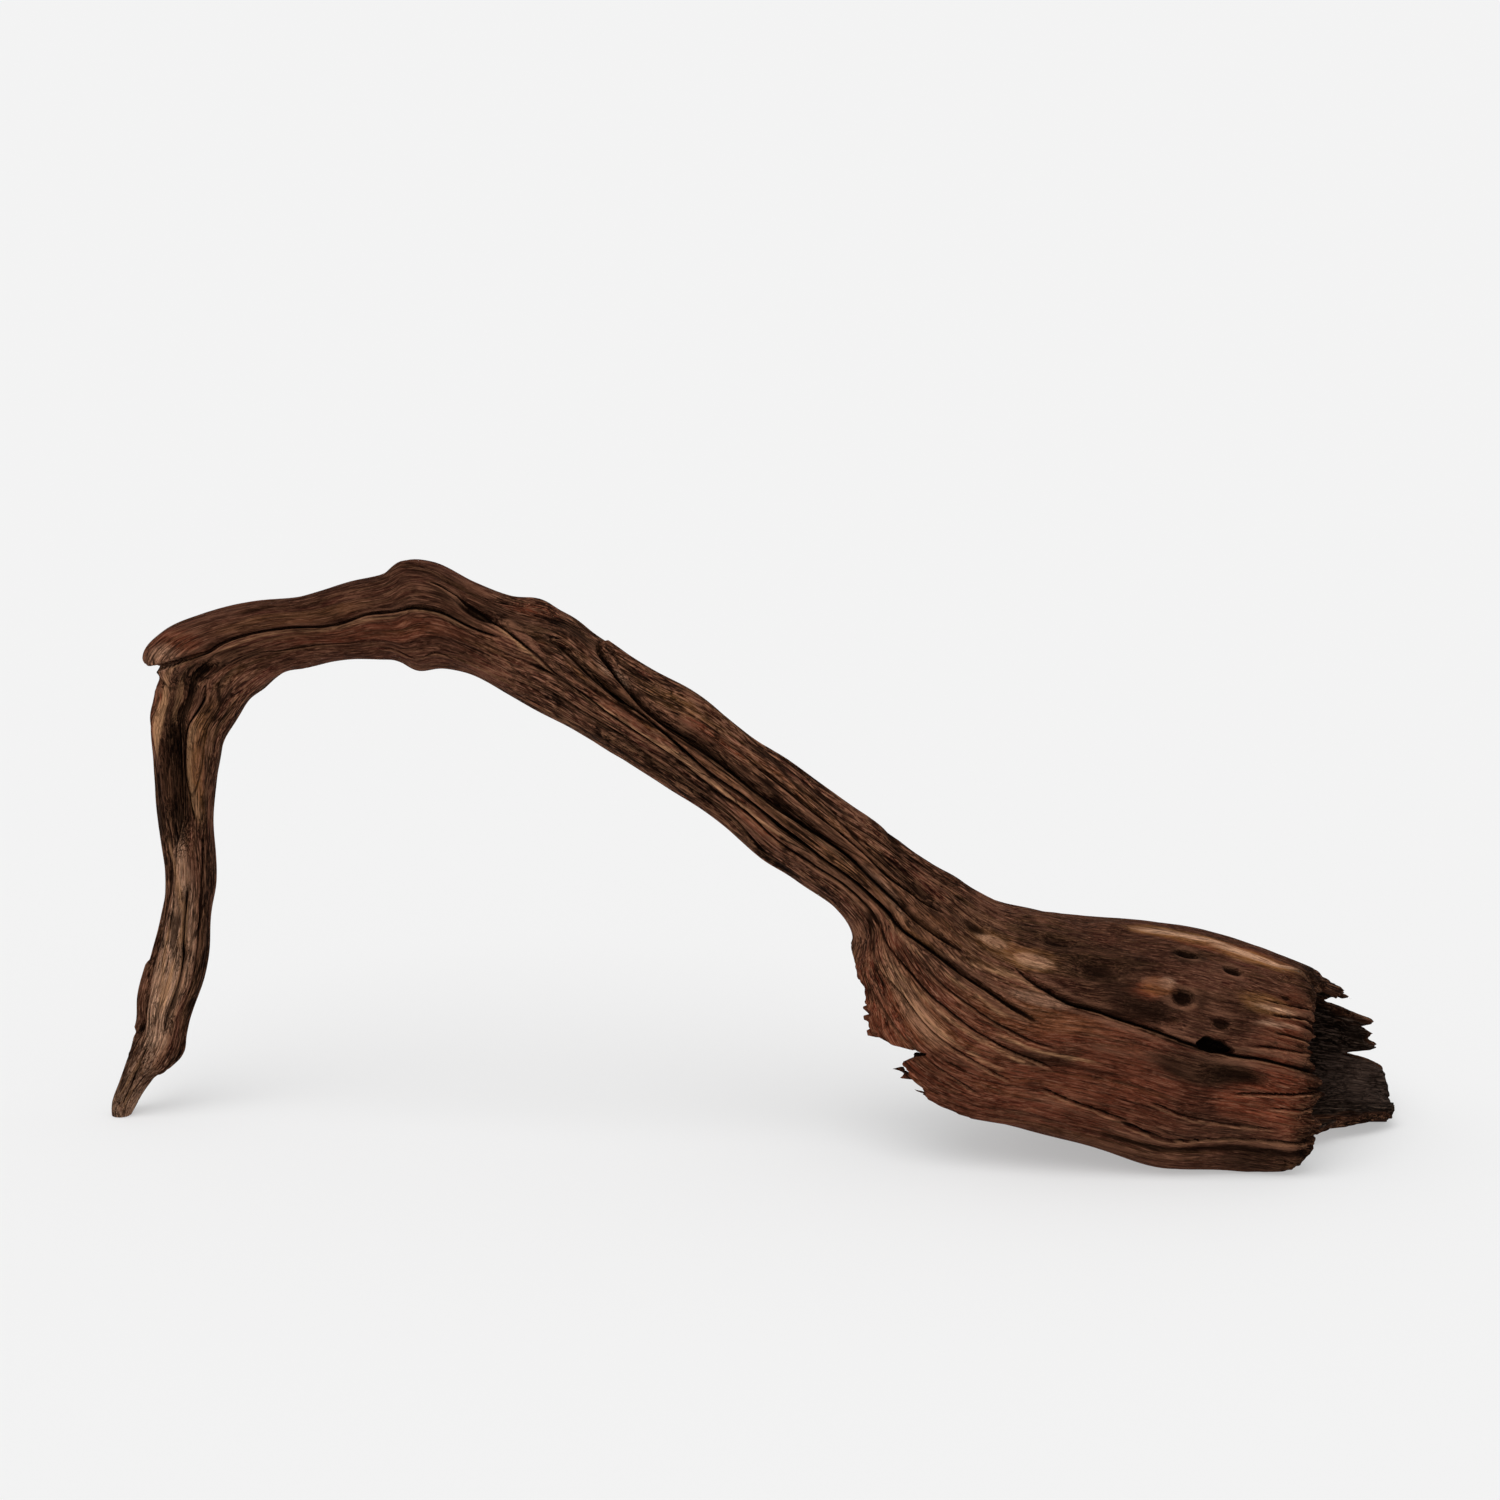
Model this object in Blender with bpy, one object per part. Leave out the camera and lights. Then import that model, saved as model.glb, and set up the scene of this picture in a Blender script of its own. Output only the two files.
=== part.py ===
"""A piece of driftwood: a thin leg, a long sloping trunk and a broad foot.

It is one grown piece. The trunk is a fluted, cracked branch that bends down at
the elbow into the leg. At the other end it widens into a foot that has rotted
hollow: the foot is open and torn at the heel, under the trunk, and at the toe.

Metres, +Z up, standing on z = 0. +X runs from the leg to the toe, and -Y is the
front. The tables below are in millimetres.
"""
import math

import bpy
import numpy as np

for old in list(bpy.data.objects):
    bpy.data.objects.remove(old, do_unlink=True)

MM = 0.001

# The middle of the finished piece's box, which the origin sits under.
CENTRE_X = 0.0
CENTRE_Y = 3.25

# How finely the wood is cut before it is thinned, and how much of it is kept.
ROW_STEP = 2.5
COLUMNS = 168
KEPT = 0.076

# The form is a tube with an outer and an inner edge, from the tip of the leg to
# the toe. Each station gives the outer edge's x and z, the inner edge's x and z,
# the depth of the section's middle along y, and half of its thickness along y.
STATIONS = (
    # the tip of the leg, standing on the ground
    (-313, -3, -303, -3, 39, 6.5),
    (-313, 5, -299, 6, 40, 8.5),
    (-308, 19, -291, 17, 41, 9.5),
    (-302, 35, -282, 24, 43, 11),
    (-298, 45, -277, 32, 45, 12),
    # the leg
    (-297, 58, -273, 46, 47, 12.5),
    (-291, 79, -265, 67, 50, 13),
    (-286, 97, -261, 91, 52, 13),
    (-283, 121, -259, 118, 53, 13),
    (-285, 151, -259, 148, 52, 13.5),
    (-287, 177, -255, 173, 50, 14),
    (-287, 199, -249, 194, 47, 15),
    # the elbow
    (-284, 212, -240, 206, 45, 16),
    (-289, 229, -229, 215, 42, 17),
    (-280, 241, -217, 222, 39, 17.5),
    (-261, 250, -204, 226, 36, 17.5),
    # the level stretch and the knuckle
    (-236, 257, -190, 229, 33, 17.5),
    (-212, 260, -176, 230, 30, 18),
    (-188, 268, -165, 230, 27, 19),
    (-172, 273, -156, 227, 24, 21),
    (-162, 279, -147, 228, 22, 22),
    (-149, 278, -139, 228, 20, 22),
    # the trunk, sloping down
    (-131, 269, -130, 226, 18, 21.5),
    (-108, 260, -115, 218, 16, 21),
    (-87, 254, -98, 208, 15, 20.5),
    (-68, 240, -77, 195, 15, 20),
    (-46, 226, -55, 181, 16, 20),
    (-23, 214, -33, 167, 16, 20.5),
    (-1, 198, -13, 153, 15, 21),
    (19, 185, 5, 137, 13, 22),
    (41, 167, 22, 127, 11, 23),
    (62, 153, 40, 114, 8, 25),
    # the neck, where the inner edge turns down into the heel
    (78, 141, 49, 100, 6, 28),
    (93, 132, 44, 84, 4, 33),
    (108, 123, 47, 66, 2, 38),
    (124, 115, 52, 48, 1, 43),
    (142, 111, 66, 31, 0, 48),
    # the foot, whose inner edge is its sole
    (162, 108, 89, 21, 0, 52),
    (182, 106, 122, 17, 0, 56),
    (203, 103, 156, 9, 0, 58),
    (224, 98, 189, -1, 0, 59),
    (246, 92, 224, -4, 0, 59),
    (265, 85, 252, -8, 0, 59),
    (287, 76, 277, -7.5, 2, 57),
    (320, 64, 313, -8, 4, 53),
)
# The section is a superellipse. Its lower half grows squarer towards the foot.
ROUND = 2.2
SQUARE = 3.8
SQUARE_FROM, SQUARE_TO = 31, 38

# Furrows and ridges that follow the grain: half width, depth (a ridge is below
# zero), the length over which each end fades, then (run, angle) along the tube.
# Angle 0 is the outer edge, 90 the front, 180 the inner edge and 270 the back.
FURROWS = (
    # the seam below the upper lobe, from the elbow over the knuckle
    (4.5, 5.0, 3, 25, ((228, -12), (232, 22), (237, 46), (245, 64), (272, 68), (306, 73), (331, 68),
                       (357, 73), (377, 75), (400, 70))),
    (5.0, 2.0, 15, 30, ((250, 103), (264, 103), (304, 112), (365, 112))),
    (4.0, 2.0, 15, 20, ((268, 30), (300, 36), (345, 40), (372, 34))),
    # the deep flute down the front of the elbow, with a lip on each side
    (9.0, 8.5, 25, 14, ((138, 58), (159, 82), (177, 86), (200, 76), (218, 68), (237, 80), (254, 90))),
    (4.0, -2.5, 12, 15, ((160, 50), (178, 52), (200, 40), (222, 28), (234, 38))),
    (4.5, -2.5, 20, 15, ((150, 128), (168, 124), (196, 114), (214, 108), (246, 112))),
    # furrows and a splinter down the leg
    (4.0, 3.5, 20, 20, ((48, 100), (68, 107), (88, 100), (105, 86), (130, 88))),
    (3.6, -2.0, 15, 20, ((60, 74), (95, 62), (118, 64), (145, 68))),
    (3.6, 3.5, 4, 14, ((42, 30), (60, 38), (79, 28), (104, 24))),
    (3.6, 2.5, 8, 10, ((8, 88), (27, 74), (40, 75))),
    (4.0, 3.0, 25, 25, ((60, 270), (120, 262), (170, 275), (215, 265))),
    # the knuckle and the upper trunk: strands that part and join again
    (6.0, 6.0, 8, 12, ((370, 44), (381, 50), (395, 50))),
    (3.6, 3.5, 8, 20, ((362, 26), (381, 18), (410, 4))),
    (4.5, -3.5, 10, 22, ((386, 50), (400, 58), (412, 78), (450, 76))),
    (3.6, 3.5, 12, 18, ((410, 50), (437, 62), (457, 68), (480, 71))),
    (3.6, 4.0, 3, 30, ((437, 22), (454, 44), (469, 60), (483, 65), (520, 66))),
    (5.0, -4.5, 1.5, 45, ((439, 8), (459, 14), (485, 20), (530, 24))),
    (3.6, 3.0, 20, 30, ((430, 336), (470, 342), (520, 350), (560, 352))),
    # the two long cracks that run from the knuckle to the foot
    (3.6, 4.5, 15, 45, ((448, 44), (479, 71), (515, 75), (577, 73), (600, 78), (628, 66),
                        (665, 56))),
    (3.6, 4.0, 15, 70, ((437, 62), (470, 80), (500, 92), (555, 94), (609, 93), (634, 76),
                        (669, 68), (712, 78))),
    (3.6, -2.5, 20, 40, ((470, 60), (515, 62), (577, 60), (600, 64), (640, 52))),
    (4.5, -1.6, 30, 50, ((480, 106), (540, 112), (600, 112), (640, 98), (700, 96))),
    (3.6, 3.5, 20, 20, ((440, 122), (467, 124), (503, 132), (530, 137), (556, 154))),
    (4.0, 3.0, 20, 25, ((560, 128), (590, 118), (620, 120), (660, 108))),
    # the upper side of the neck
    (5.0, 3.5, 25, 30, ((560, 40), (600, 46), (628, 40), (660, 34))),
    (5.0, 3.0, 25, 30, ((570, 14), (610, 16), (650, 10))),
    # the foot: a crack over its front, and lower ones
    (3.6, 3.0, 20, 6, ((672, 50), (717, 63), (751, 68), (778, 73), (804, 72), (850, 72))),
    (3.6, 1.4, 12, 15, ((690, 92), (720, 97), (752, 98), (775, 92))),
    (3.6, 1.6, 12, 20, ((715, 108), (753, 116), (775, 112))),
    (3.6, 1.6, 12, 12, ((780, 102), (800, 108), (825, 111))),
    (5.0, -1.5, 25, 25, ((700, 88), (751, 84), (790, 86), (830, 88))),
    (4.0, 3.2, 20, 4, ((748, 128), (784, 126), (804, 124), (850, 122))),
    (4.0, 1.4, 15, 25, ((640, 118), (660, 112), (690, 112), (715, 118))),
    (3.6, 1.4, 15, 20, ((645, 134), (665, 128), (700, 128))),
    (4.0, 1.8, 15, 6, ((770, 34), (800, 38), (840, 36))),
    # the hidden back
    (5.0, 5.0, 30, 40, ((260, 285), (330, 280), (400, 290), (470, 300), (540, 292))),
    (3.6, 4.0, 30, 40, ((430, 250), (500, 256), (580, 262), (660, 270))),
    (4.0, 4.0, 30, 30, ((570, 300), (640, 296), (720, 290), (800, 296))),
    (4.0, 3.5, 30, 10, ((680, 262), (740, 266), (800, 262), (860, 268))),
    (4.0, 3.0, 20, 20, ((620, 236), (660, 244), (720, 246), (780, 240))),
    (4.0, 3.0, 20, 20, ((640, 326), (700, 320), (760, 326), (830, 322))),
)

# Dents and warts in the skin: run, angle, radius along, radius round, depth.
DENTS = (
    (752, 62, 26, 11, 3.0),
    (717, 40, 20, 10, 2.5),
    (689, 28, 14, 7, 2.2),
    (621, 49, 14, 6, 2.5),
    (652, 40, 12, 6, 2.5),
    (766, 19, 9, 5, 4.0),
    (794, 26, 8, 5, 3.0),
    (768, 50, 8, 6, 3.5),
    (792, 58, 7, 4, 2.5),
    (806, 84, 22, 8, 3.0),
    (752, 45, 14, 5, -1.8),
    (660, 42, 11, 4, -1.4),
    (683, 44, 13, 4, -1.4),
    (699, 64, 15, 4, -1.4),
    (348, 8, 14, 9, -2.0),
    (405, 356, 12, 9, -2.0),
    (45, 175, 9, 7, -1.2),
    (230, 2, 7, 18, 5.0),
    (690, 300, 22, 14, 4.0),
    (780, 255, 18, 12, 3.5),
    (500, 275, 20, 8, 2.5),
)

# The sole is scooped between two runners, which carry the foot with the leg tip.
SCOOP_FROM, SCOOP_FULL = 690, 790
SCOOP_HALF_WIDTH = 42
SCOOP_DEPTH = 12

# The flutes of the whole skin: cell length, cells round, depth.
FLUTES = ((110, 8, 1.5), (46, 17, 0.9), (24, 34, 0.55))

# The hollow of the foot, as wall thicknesses at runs along it.
HOLLOW_FROM, HOLLOW_ROUNDING = 652, 34
HOLLOW_RUNS = (652, 700, 760, 900)
WALL_OUTER = (24, 12, 10, 9)
WALL_INNER = (6, 7, 19, 19)
WALL_SIDE = (14, 9, 9, 8)

# Where the torn walls end along x, at heights z: the toe's front wall, its back
# wall, and the heel's front wall.
TOE_FRONT = ((-20, 258), (9, 261), (16, 264), (28, 264), (34, 260), (42, 265), (50, 262),
             (56, 257), (64, 258), (73, 260), (83, 259), (93, 254), (120, 250))
TOE_BACK = ((-20, 284), (-4, 288), (1, 300), (6, 305), (19, 311), (25, 306), (28, 291),
            (32, 304), (40, 302), (45, 296), (49, 303), (53, 285), (58, 279), (66, 286),
            (71, 282), (95, 272), (120, 268))
HEEL_FRONT = ((-20, 112), (20, 110), (25, 103), (28, 96), (32, 87), (36, 82), (39, 80),
              (44, 74), (52, 73), (56, 76), (59, 84), (62, 84), (64, 59), (72, 58),
              (80, 54), (91, 49), (99, 43), (110, 38))
HEEL_BACK = ((-20, 116), (30, 112), (62, 104), (78, 88), (92, 52), (99, 45), (110, 40))
HEEL_TOP = 100
TEAR_CELL = 5.5
TEAR_DEPTH = 3.2

# The hole through the front wall: run, angle, and its half sizes along, up and in.
HOLE = (794, 69, 8.0, 3.6, 15.0)

GROUND_BOX = (500, 300, 60)


def smooth(knots, values, at):
    """A curve through the values at the knots, with no overshoot to speak of."""
    knots = np.asarray(knots, float)
    values = np.asarray(values, float).reshape(len(knots), -1)
    gaps = np.diff(knots)[:, None]
    slopes = np.diff(values, axis=0) / gaps
    tangents = np.empty_like(values)
    tangents[1:-1] = (slopes[:-1] * gaps[1:] + slopes[1:] * gaps[:-1]) / (gaps[:-1] + gaps[1:])
    tangents[0] = slopes[0]
    tangents[-1] = slopes[-1]
    i = np.clip(np.searchsorted(knots, at, side="right") - 1, 0, len(knots) - 2)
    t = ((at - knots[i]) / (knots[i + 1] - knots[i]))[:, None]
    rise = 3 * t**2 - 2 * t**3
    return (
        (1 - rise) * values[i]
        + rise * values[i + 1]
        + (t**3 - 2 * t**2 + t) * gaps[i] * tangents[i]
        + (t**3 - t**2) * gaps[i] * tangents[i + 1]
    )


def ease(x, low, high):
    """0 below low, 1 above high, with a smooth step between."""
    t = np.clip((x - low) / (high - low), 0, 1)
    return t * t * (3 - 2 * t)


TABLE = np.array(STATIONS, float)
OUTER_STEPS = np.hypot(np.diff(TABLE[:, 0]), np.diff(TABLE[:, 1]))
INNER_STEPS = np.hypot(np.diff(TABLE[:, 2]), np.diff(TABLE[:, 3]))
KNOTS = np.concatenate([[0], np.cumsum((OUTER_STEPS + INNER_STEPS) / 2)])
RUN = KNOTS[-1]


def section(runs, angles, walls=(0, 0, 0)):
    """Points of the smooth tube, one row for each run, moved in by the walls."""
    at = smooth(KNOTS, TABLE, runs)
    outer = np.stack([at[:, 0], at[:, 4], at[:, 1]], axis=-1)
    inner = np.stack([at[:, 2], at[:, 4], at[:, 3]], axis=-1)
    across = outer - inner
    unit = across / np.linalg.norm(across, axis=1, keepdims=True)
    outer = outer - unit * np.reshape(walls[0], (-1, 1))
    inner = inner + unit * np.reshape(walls[1], (-1, 1))
    depth = at[:, 5] - walls[2]
    squarer = ease(runs, KNOTS[SQUARE_FROM], KNOTS[SQUARE_TO])[:, None]
    cos = np.cos(np.radians(angles))[None, :]
    sin = np.sin(np.radians(angles))[None, :]
    power = np.where(cos > 0, ROUND, ROUND + (SQUARE - ROUND) * squarer)
    radius = (np.abs(cos) ** power + np.abs(sin) ** power) ** (-1 / power)
    middle = (outer + inner) / 2
    half = (outer - inner) / 2
    points = middle[:, None] + half[:, None] * (radius * cos)[..., None]
    points[..., 1] -= depth[:, None] * radius * sin
    return points


def normals(points):
    """Unit normals of a closed-round grid, pointing out."""
    along = np.gradient(points, axis=0)
    around = np.roll(points, -1, axis=1) - np.roll(points, 1, axis=1)
    out = np.cross(around, along)
    out /= np.linalg.norm(out, axis=-1, keepdims=True)
    return out


def round_distance(points):
    """The distance round each row from its first column, and the whole way round."""
    steps = np.linalg.norm(np.roll(points, -1, axis=1) - points, axis=-1)
    total = steps.sum(axis=1)
    start = np.cumsum(steps, axis=1) - steps
    return start, total


def wave_noise(runs, angles, cell, cells_round, seed):
    """Smooth noise from -1 to 1, stretched along the grain and seamless round it."""
    rng = np.random.default_rng(seed)
    rows = int(RUN / cell) + 4
    grid = rng.uniform(-1, 1, (rows, cells_round))
    row = np.clip(runs / cell + 1, 0, rows - 2.001)
    column = (angles / 360 * cells_round) % cells_round
    i = row.astype(int)
    j = column.astype(int) % cells_round
    s = row - i
    t = column - np.floor(column)
    s = (s * s * (3 - 2 * s))[:, None]
    t = (t * t * (3 - 2 * t))[None, :]
    k = (j + 1) % cells_round
    low = grid[i][:, j] * (1 - t) + grid[i][:, k] * t
    high = grid[i + 1][:, j] * (1 - t) + grid[i + 1][:, k] * t
    return low * (1 - s) + high * s


def relief(runs, angles, points):
    """How far the skin stands out from the smooth tube, in millimetres."""
    start, total = round_distance(points)
    width = smooth(KNOTS, TABLE[:, 5], runs)[:, 0]
    height = np.zeros(points.shape[:2])
    for seed, (cell, cells_round, depth) in enumerate(FLUTES):
        strength = depth * np.clip(width / 20, 0.35, 1.5)
        height += strength[:, None] * wave_noise(runs, angles, cell, cells_round, seed)
    for half_width, depth, fade_in, fade_out, path in FURROWS:
        knots = np.array([p[0] for p in path], float)
        turn = smooth(knots, [p[1] for p in path], np.clip(runs, knots[0], knots[-1]))[:, 0]
        place = (turn % 360) / 360 * len(angles)
        i = place.astype(int) % len(angles)
        part = place - np.floor(place)
        rows = np.arange(len(runs))
        ahead = start[rows, (i + 1) % len(angles)]
        ahead = np.where(i + 1 >= len(angles), total, ahead)
        centre = start[rows, i] * (1 - part) + ahead * part
        off = start - centre[:, None]
        off = (off + total[:, None] / 2) % total[:, None] - total[:, None] / 2
        shape = np.clip(1 - (off / half_width) ** 2, 0, 1) ** 2
        strength = ease(runs, knots[0] - 0.01, knots[0] + fade_in)
        strength = strength * (1 - ease(runs, knots[-1] - fade_out, knots[-1] + 0.01))
        height -= depth * strength[:, None] * shape
    for run, angle, along, around, depth in DENTS:
        i = int(round(angle / 360 * len(angles))) % len(angles)
        off = start - start[:, i : i + 1]
        off = (off + total[:, None] / 2) % total[:, None] - total[:, None] / 2
        reach = ((runs - run) / along)[:, None] ** 2 + (off / around) ** 2
        height -= depth * np.clip(1 - reach, 0, 1) ** 2
    under = start - start[:, len(angles) // 2 : len(angles) // 2 + 1]
    scoop = np.clip(1 - (under / SCOOP_HALF_WIDTH) ** 2, 0, 1) ** 2
    height -= SCOOP_DEPTH * ease(runs, SCOOP_FROM, SCOOP_FULL)[:, None] * scoop
    return height


def tear(a, b, seed):
    """Noise from -1 to 1 over a plane, for the ends of broken fibres."""
    rng = np.random.default_rng(seed)
    grid = rng.uniform(-1, 1, (80, 80))
    u = np.clip((a + 120) / TEAR_CELL, 0, 78.9)
    v = np.clip((b + 60) / TEAR_CELL, 0, 78.9)
    i = u.astype(int)
    j = v.astype(int)
    s = u - i
    t = v - j
    low = grid[i, j] * (1 - t) + grid[i, j + 1] * t
    high = grid[i + 1, j] * (1 - t) + grid[i + 1, j + 1] * t
    return low * (1 - s) + high * s


def toe_edge(y, z):
    """The x at which the toe's wall ends: short in front, long at the back."""
    front = np.interp(z, *np.transpose(TOE_FRONT))
    back = np.interp(z, *np.transpose(TOE_BACK))
    share = ease(y, -26, 24)
    return front * (1 - share) + back * share + TEAR_DEPTH * tear(y, z, 21)


def heel_edge(y, z):
    """The x at which the heel's wall starts: a flap in front, cut back behind."""
    front = np.interp(z, *np.transpose(HEEL_FRONT))
    back = np.interp(z, *np.transpose(HEEL_BACK))
    share = ease(y, -18, 12)
    ragged = TEAR_DEPTH * tear(y, z, 22) * ease(HEEL_TOP - z, 4, 20)
    return front * (1 - share) + back * share + ragged


def new_object(name, points, faces):
    """A mesh object from points in millimetres, with the origin moved to the centre."""
    placed = np.array(points, float).reshape(-1, 3)
    placed = (placed - (CENTRE_X, CENTRE_Y, 0)) * MM
    mesh = bpy.data.meshes.new(name)
    mesh.from_pydata(placed.tolist(), [], faces)
    mesh.update()
    made = bpy.data.objects.new(name, mesh)
    bpy.context.collection.objects.link(made)
    return made


def tube_faces(rows, columns):
    """Triangles of a closed-round grid, facing out, with a flat cap at each end."""
    faces = []
    for i in range(rows - 1):
        for j in range(columns):
            k = (j + 1) % columns
            low = i * columns
            high = low + columns
            faces.append((low + j, low + k, high + k))
            faces.append((low + j, high + k, high + j))
    faces.append(tuple(reversed(range(columns))))
    faces.append(tuple((rows - 1) * columns + j for j in range(columns)))
    return faces


def tube(name, points):
    rows, columns = points.shape[:2]
    return new_object(name, points, tube_faces(rows, columns))


def curtain(name, edge, far, y_range, z_range, step):
    """A cutter that fills the space between x = edge(y, z) and x = far."""
    y = np.arange(y_range[0], y_range[1] + step, step)
    z = np.arange(z_range[0], z_range[1] + 0.01, step)
    wide = len(z)
    grid_y, grid_z = np.meshgrid(y, z, indexing="ij")
    torn = np.stack([edge(grid_y, grid_z), grid_y, grid_z], axis=-1)
    flat = torn.copy()
    flat[..., 0] = far
    points = np.concatenate([torn.reshape(-1, 3), flat.reshape(-1, 3)])
    count = len(y) * wide
    faces = []
    for i in range(len(y) - 1):
        for j in range(wide - 1):
            a = i * wide + j
            b = a + wide + 1
            for half in ((a, a + 1, b), (a, b, a + wide)):
                faces.append(half)
                faces.append(tuple(count + n for n in reversed(half)))
    border = [j for j in range(wide)]
    border += [i * wide + wide - 1 for i in range(1, len(y))]
    border += [(len(y) - 1) * wide + j for j in reversed(range(wide - 1))]
    border += [i * wide for i in reversed(range(1, len(y) - 1))]
    for a, b in zip(border, border[1:] + border[:1]):
        faces.append((b, a, count + a))
        faces.append((b, count + a, count + b))
    if far < torn[..., 0].min():
        faces = [tuple(reversed(face)) for face in faces]
    return new_object(name, points, faces)


def as_cutter(made):
    made.hide_render = True
    made.display_type = "WIRE"
    return made


def cut(target, cutter, name):
    modifier = target.modifiers.new(name, "BOOLEAN")
    modifier.operation = "DIFFERENCE"
    modifier.solver = "EXACT"
    modifier.object = as_cutter(cutter)


# The wood itself: the smooth tube, pushed out and in along its normals.
runs = np.linspace(0, RUN, int(RUN / ROW_STEP) + 1)
angles = np.arange(COLUMNS) * 360 / COLUMNS
skin = section(runs, angles)
lift = relief(runs, angles, skin) * ease(runs, 0, 8)[:, None]
driftwood = tube("driftwood", skin + normals(skin) * lift[..., None])

# The hollow starts as a rounded end inside the neck and runs out past the toe.
inside = np.linspace(HOLLOW_FROM + 0.3, RUN - 1, 64)
around = np.arange(60) * 6.0
walls = [np.interp(inside, HOLLOW_RUNS, wall) for wall in (WALL_OUTER, WALL_INNER, WALL_SIDE)]
room = section(inside, around, walls)
middle = room.mean(axis=1, keepdims=True)
open_share = np.clip((inside - HOLLOW_FROM) / HOLLOW_ROUNDING, 0, 1)
size = np.sqrt(1 - (1 - open_share) ** 2)[:, None, None]
rough = 1 + 0.03 * wave_noise(inside, around, 30, 14, 5)[..., None]
hollow = tube("hollow_cutter", middle + (room - middle) * size * rough)

# The toe and the heel are torn off along ragged edges.
toe = curtain("toe_cutter", toe_edge, 380, (-80.3, 80), (-30.4, 150), 2.6)
heel = curtain("heel_cutter", heel_edge, -60, (-80.7, 80), (-30.2, HEEL_TOP), 2.6)

# One knot hole goes through the front wall into the hollow.
hole_at = section(HOLE[0] + np.array([-2.0, 0, 2.0]), HOLE[1] + np.array([-1.0, 0, 1.0]))
spot = hole_at[1, 1]
along = hole_at[2, 1] - hole_at[0, 1]
along /= np.linalg.norm(along)
up = hole_at[1, 0] - hole_at[1, 2]
up -= along * (up @ along)
up /= np.linalg.norm(up)
inward = np.cross(along, up)
theta = np.linspace(0.06, math.pi - 0.06, 13)
phi = np.arange(16) * math.pi / 8
ball = (
    spot
    + HOLE[2] * np.sin(theta)[:, None, None] * np.cos(phi)[None, :, None] * along
    + HOLE[3] * np.sin(theta)[:, None, None] * np.sin(phi)[None, :, None] * up
    + HOLE[4] * np.cos(theta)[:, None, None] * inward
)
knot_hole = tube("knot_hole_cutter", ball[:, ::-1])

# The ground plane trims the leg tip and the two runners to flat spots at z = 0.
half = np.array([-0.5, 0.5])
box = np.stack(np.meshgrid(half, half, half, indexing="ij"), axis=-1).reshape(-1, 3)
box = box * np.array([2 * GROUND_BOX[0], 2 * GROUND_BOX[1], GROUND_BOX[2]]) - (0, 0, GROUND_BOX[2] / 2)
box_faces = [(0, 1, 3, 2), (4, 6, 7, 5), (0, 4, 5, 1), (2, 3, 7, 6), (0, 2, 6, 4), (1, 5, 7, 3)]
ground = new_object("ground_cutter", box, box_faces)

cut(driftwood, hollow, "hollow")
cut(driftwood, heel, "heel")
cut(driftwood, toe, "toe")
cut(driftwood, knot_hole, "knot hole")
thin = driftwood.modifiers.new("thin out", "DECIMATE")
thin.ratio = KEPT
cut(driftwood, ground, "ground")

wood = bpy.data.materials.new("wet brown wood")
wood.use_nodes = True
shader = wood.node_tree.nodes["Principled BSDF"]
shader.inputs["Base Color"].default_value = (0.065, 0.029, 0.017, 1)
shader.inputs["Roughness"].default_value = 0.75
shader.inputs["Metallic"].default_value = 0
driftwood.data.materials.append(wood)
driftwood.data.polygons.foreach_set("use_smooth", [True] * len(driftwood.data.polygons))
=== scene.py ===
# %% [markdown]
# # A piece of driftwood
# The object is one water-worn branch: a thin leg, an elbow, a long sloping trunk
# and a broad foot that has rotted hollow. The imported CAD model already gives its
# size, its place and its main forms. This lesson builds the finished wood over it:
# the same tube with far more rows and columns, so that strands, drying cracks and
# torn fibres are real shapes, and then a wood finish made only of shader nodes.
#
# The first step loads the CAD model as a fixed frame and notes its box, because
# the finished wood has to stay inside that box.

# %% The fixed frame
import math

import bpy
import numpy as np
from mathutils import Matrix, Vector, kdtree


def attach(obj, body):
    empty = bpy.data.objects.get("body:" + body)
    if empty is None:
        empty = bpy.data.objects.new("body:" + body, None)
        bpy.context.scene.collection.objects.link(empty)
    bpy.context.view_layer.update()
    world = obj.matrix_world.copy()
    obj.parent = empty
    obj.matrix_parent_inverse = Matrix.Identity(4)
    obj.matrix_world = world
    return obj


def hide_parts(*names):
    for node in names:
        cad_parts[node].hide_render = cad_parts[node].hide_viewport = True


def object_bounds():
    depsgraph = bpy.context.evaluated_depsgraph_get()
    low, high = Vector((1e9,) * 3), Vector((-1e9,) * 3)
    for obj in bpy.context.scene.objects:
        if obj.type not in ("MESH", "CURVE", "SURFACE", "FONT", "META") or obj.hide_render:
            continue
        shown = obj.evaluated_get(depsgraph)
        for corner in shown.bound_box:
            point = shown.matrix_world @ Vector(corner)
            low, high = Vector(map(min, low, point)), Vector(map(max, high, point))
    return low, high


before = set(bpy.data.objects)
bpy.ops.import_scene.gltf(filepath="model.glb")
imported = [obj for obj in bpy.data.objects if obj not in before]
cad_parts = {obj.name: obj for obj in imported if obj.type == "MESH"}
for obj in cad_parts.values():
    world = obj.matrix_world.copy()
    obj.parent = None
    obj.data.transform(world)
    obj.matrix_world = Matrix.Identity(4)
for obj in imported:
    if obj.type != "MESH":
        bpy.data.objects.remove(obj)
cad_low, cad_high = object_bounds()
print("CAD box, mm:", [round(v * 1000, 1) for v in (*cad_low, *cad_high)])

# %% [markdown]
# ## The camera
# The photo looks slightly down on the piece. A long lens from two metres away
# keeps the leg and the foot at nearly the same scale. A camera can be aimed by
# hand, but a direction and a distance are easier to repeat: the elevation gives
# the direction, and to_track_quat turns the camera's -Z axis onto it.

# %% The camera
ELEVATION = math.radians(14)
TARGET = Vector((0, -0.00325, 0.19304))
DISTANCE = 1.954652

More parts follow.
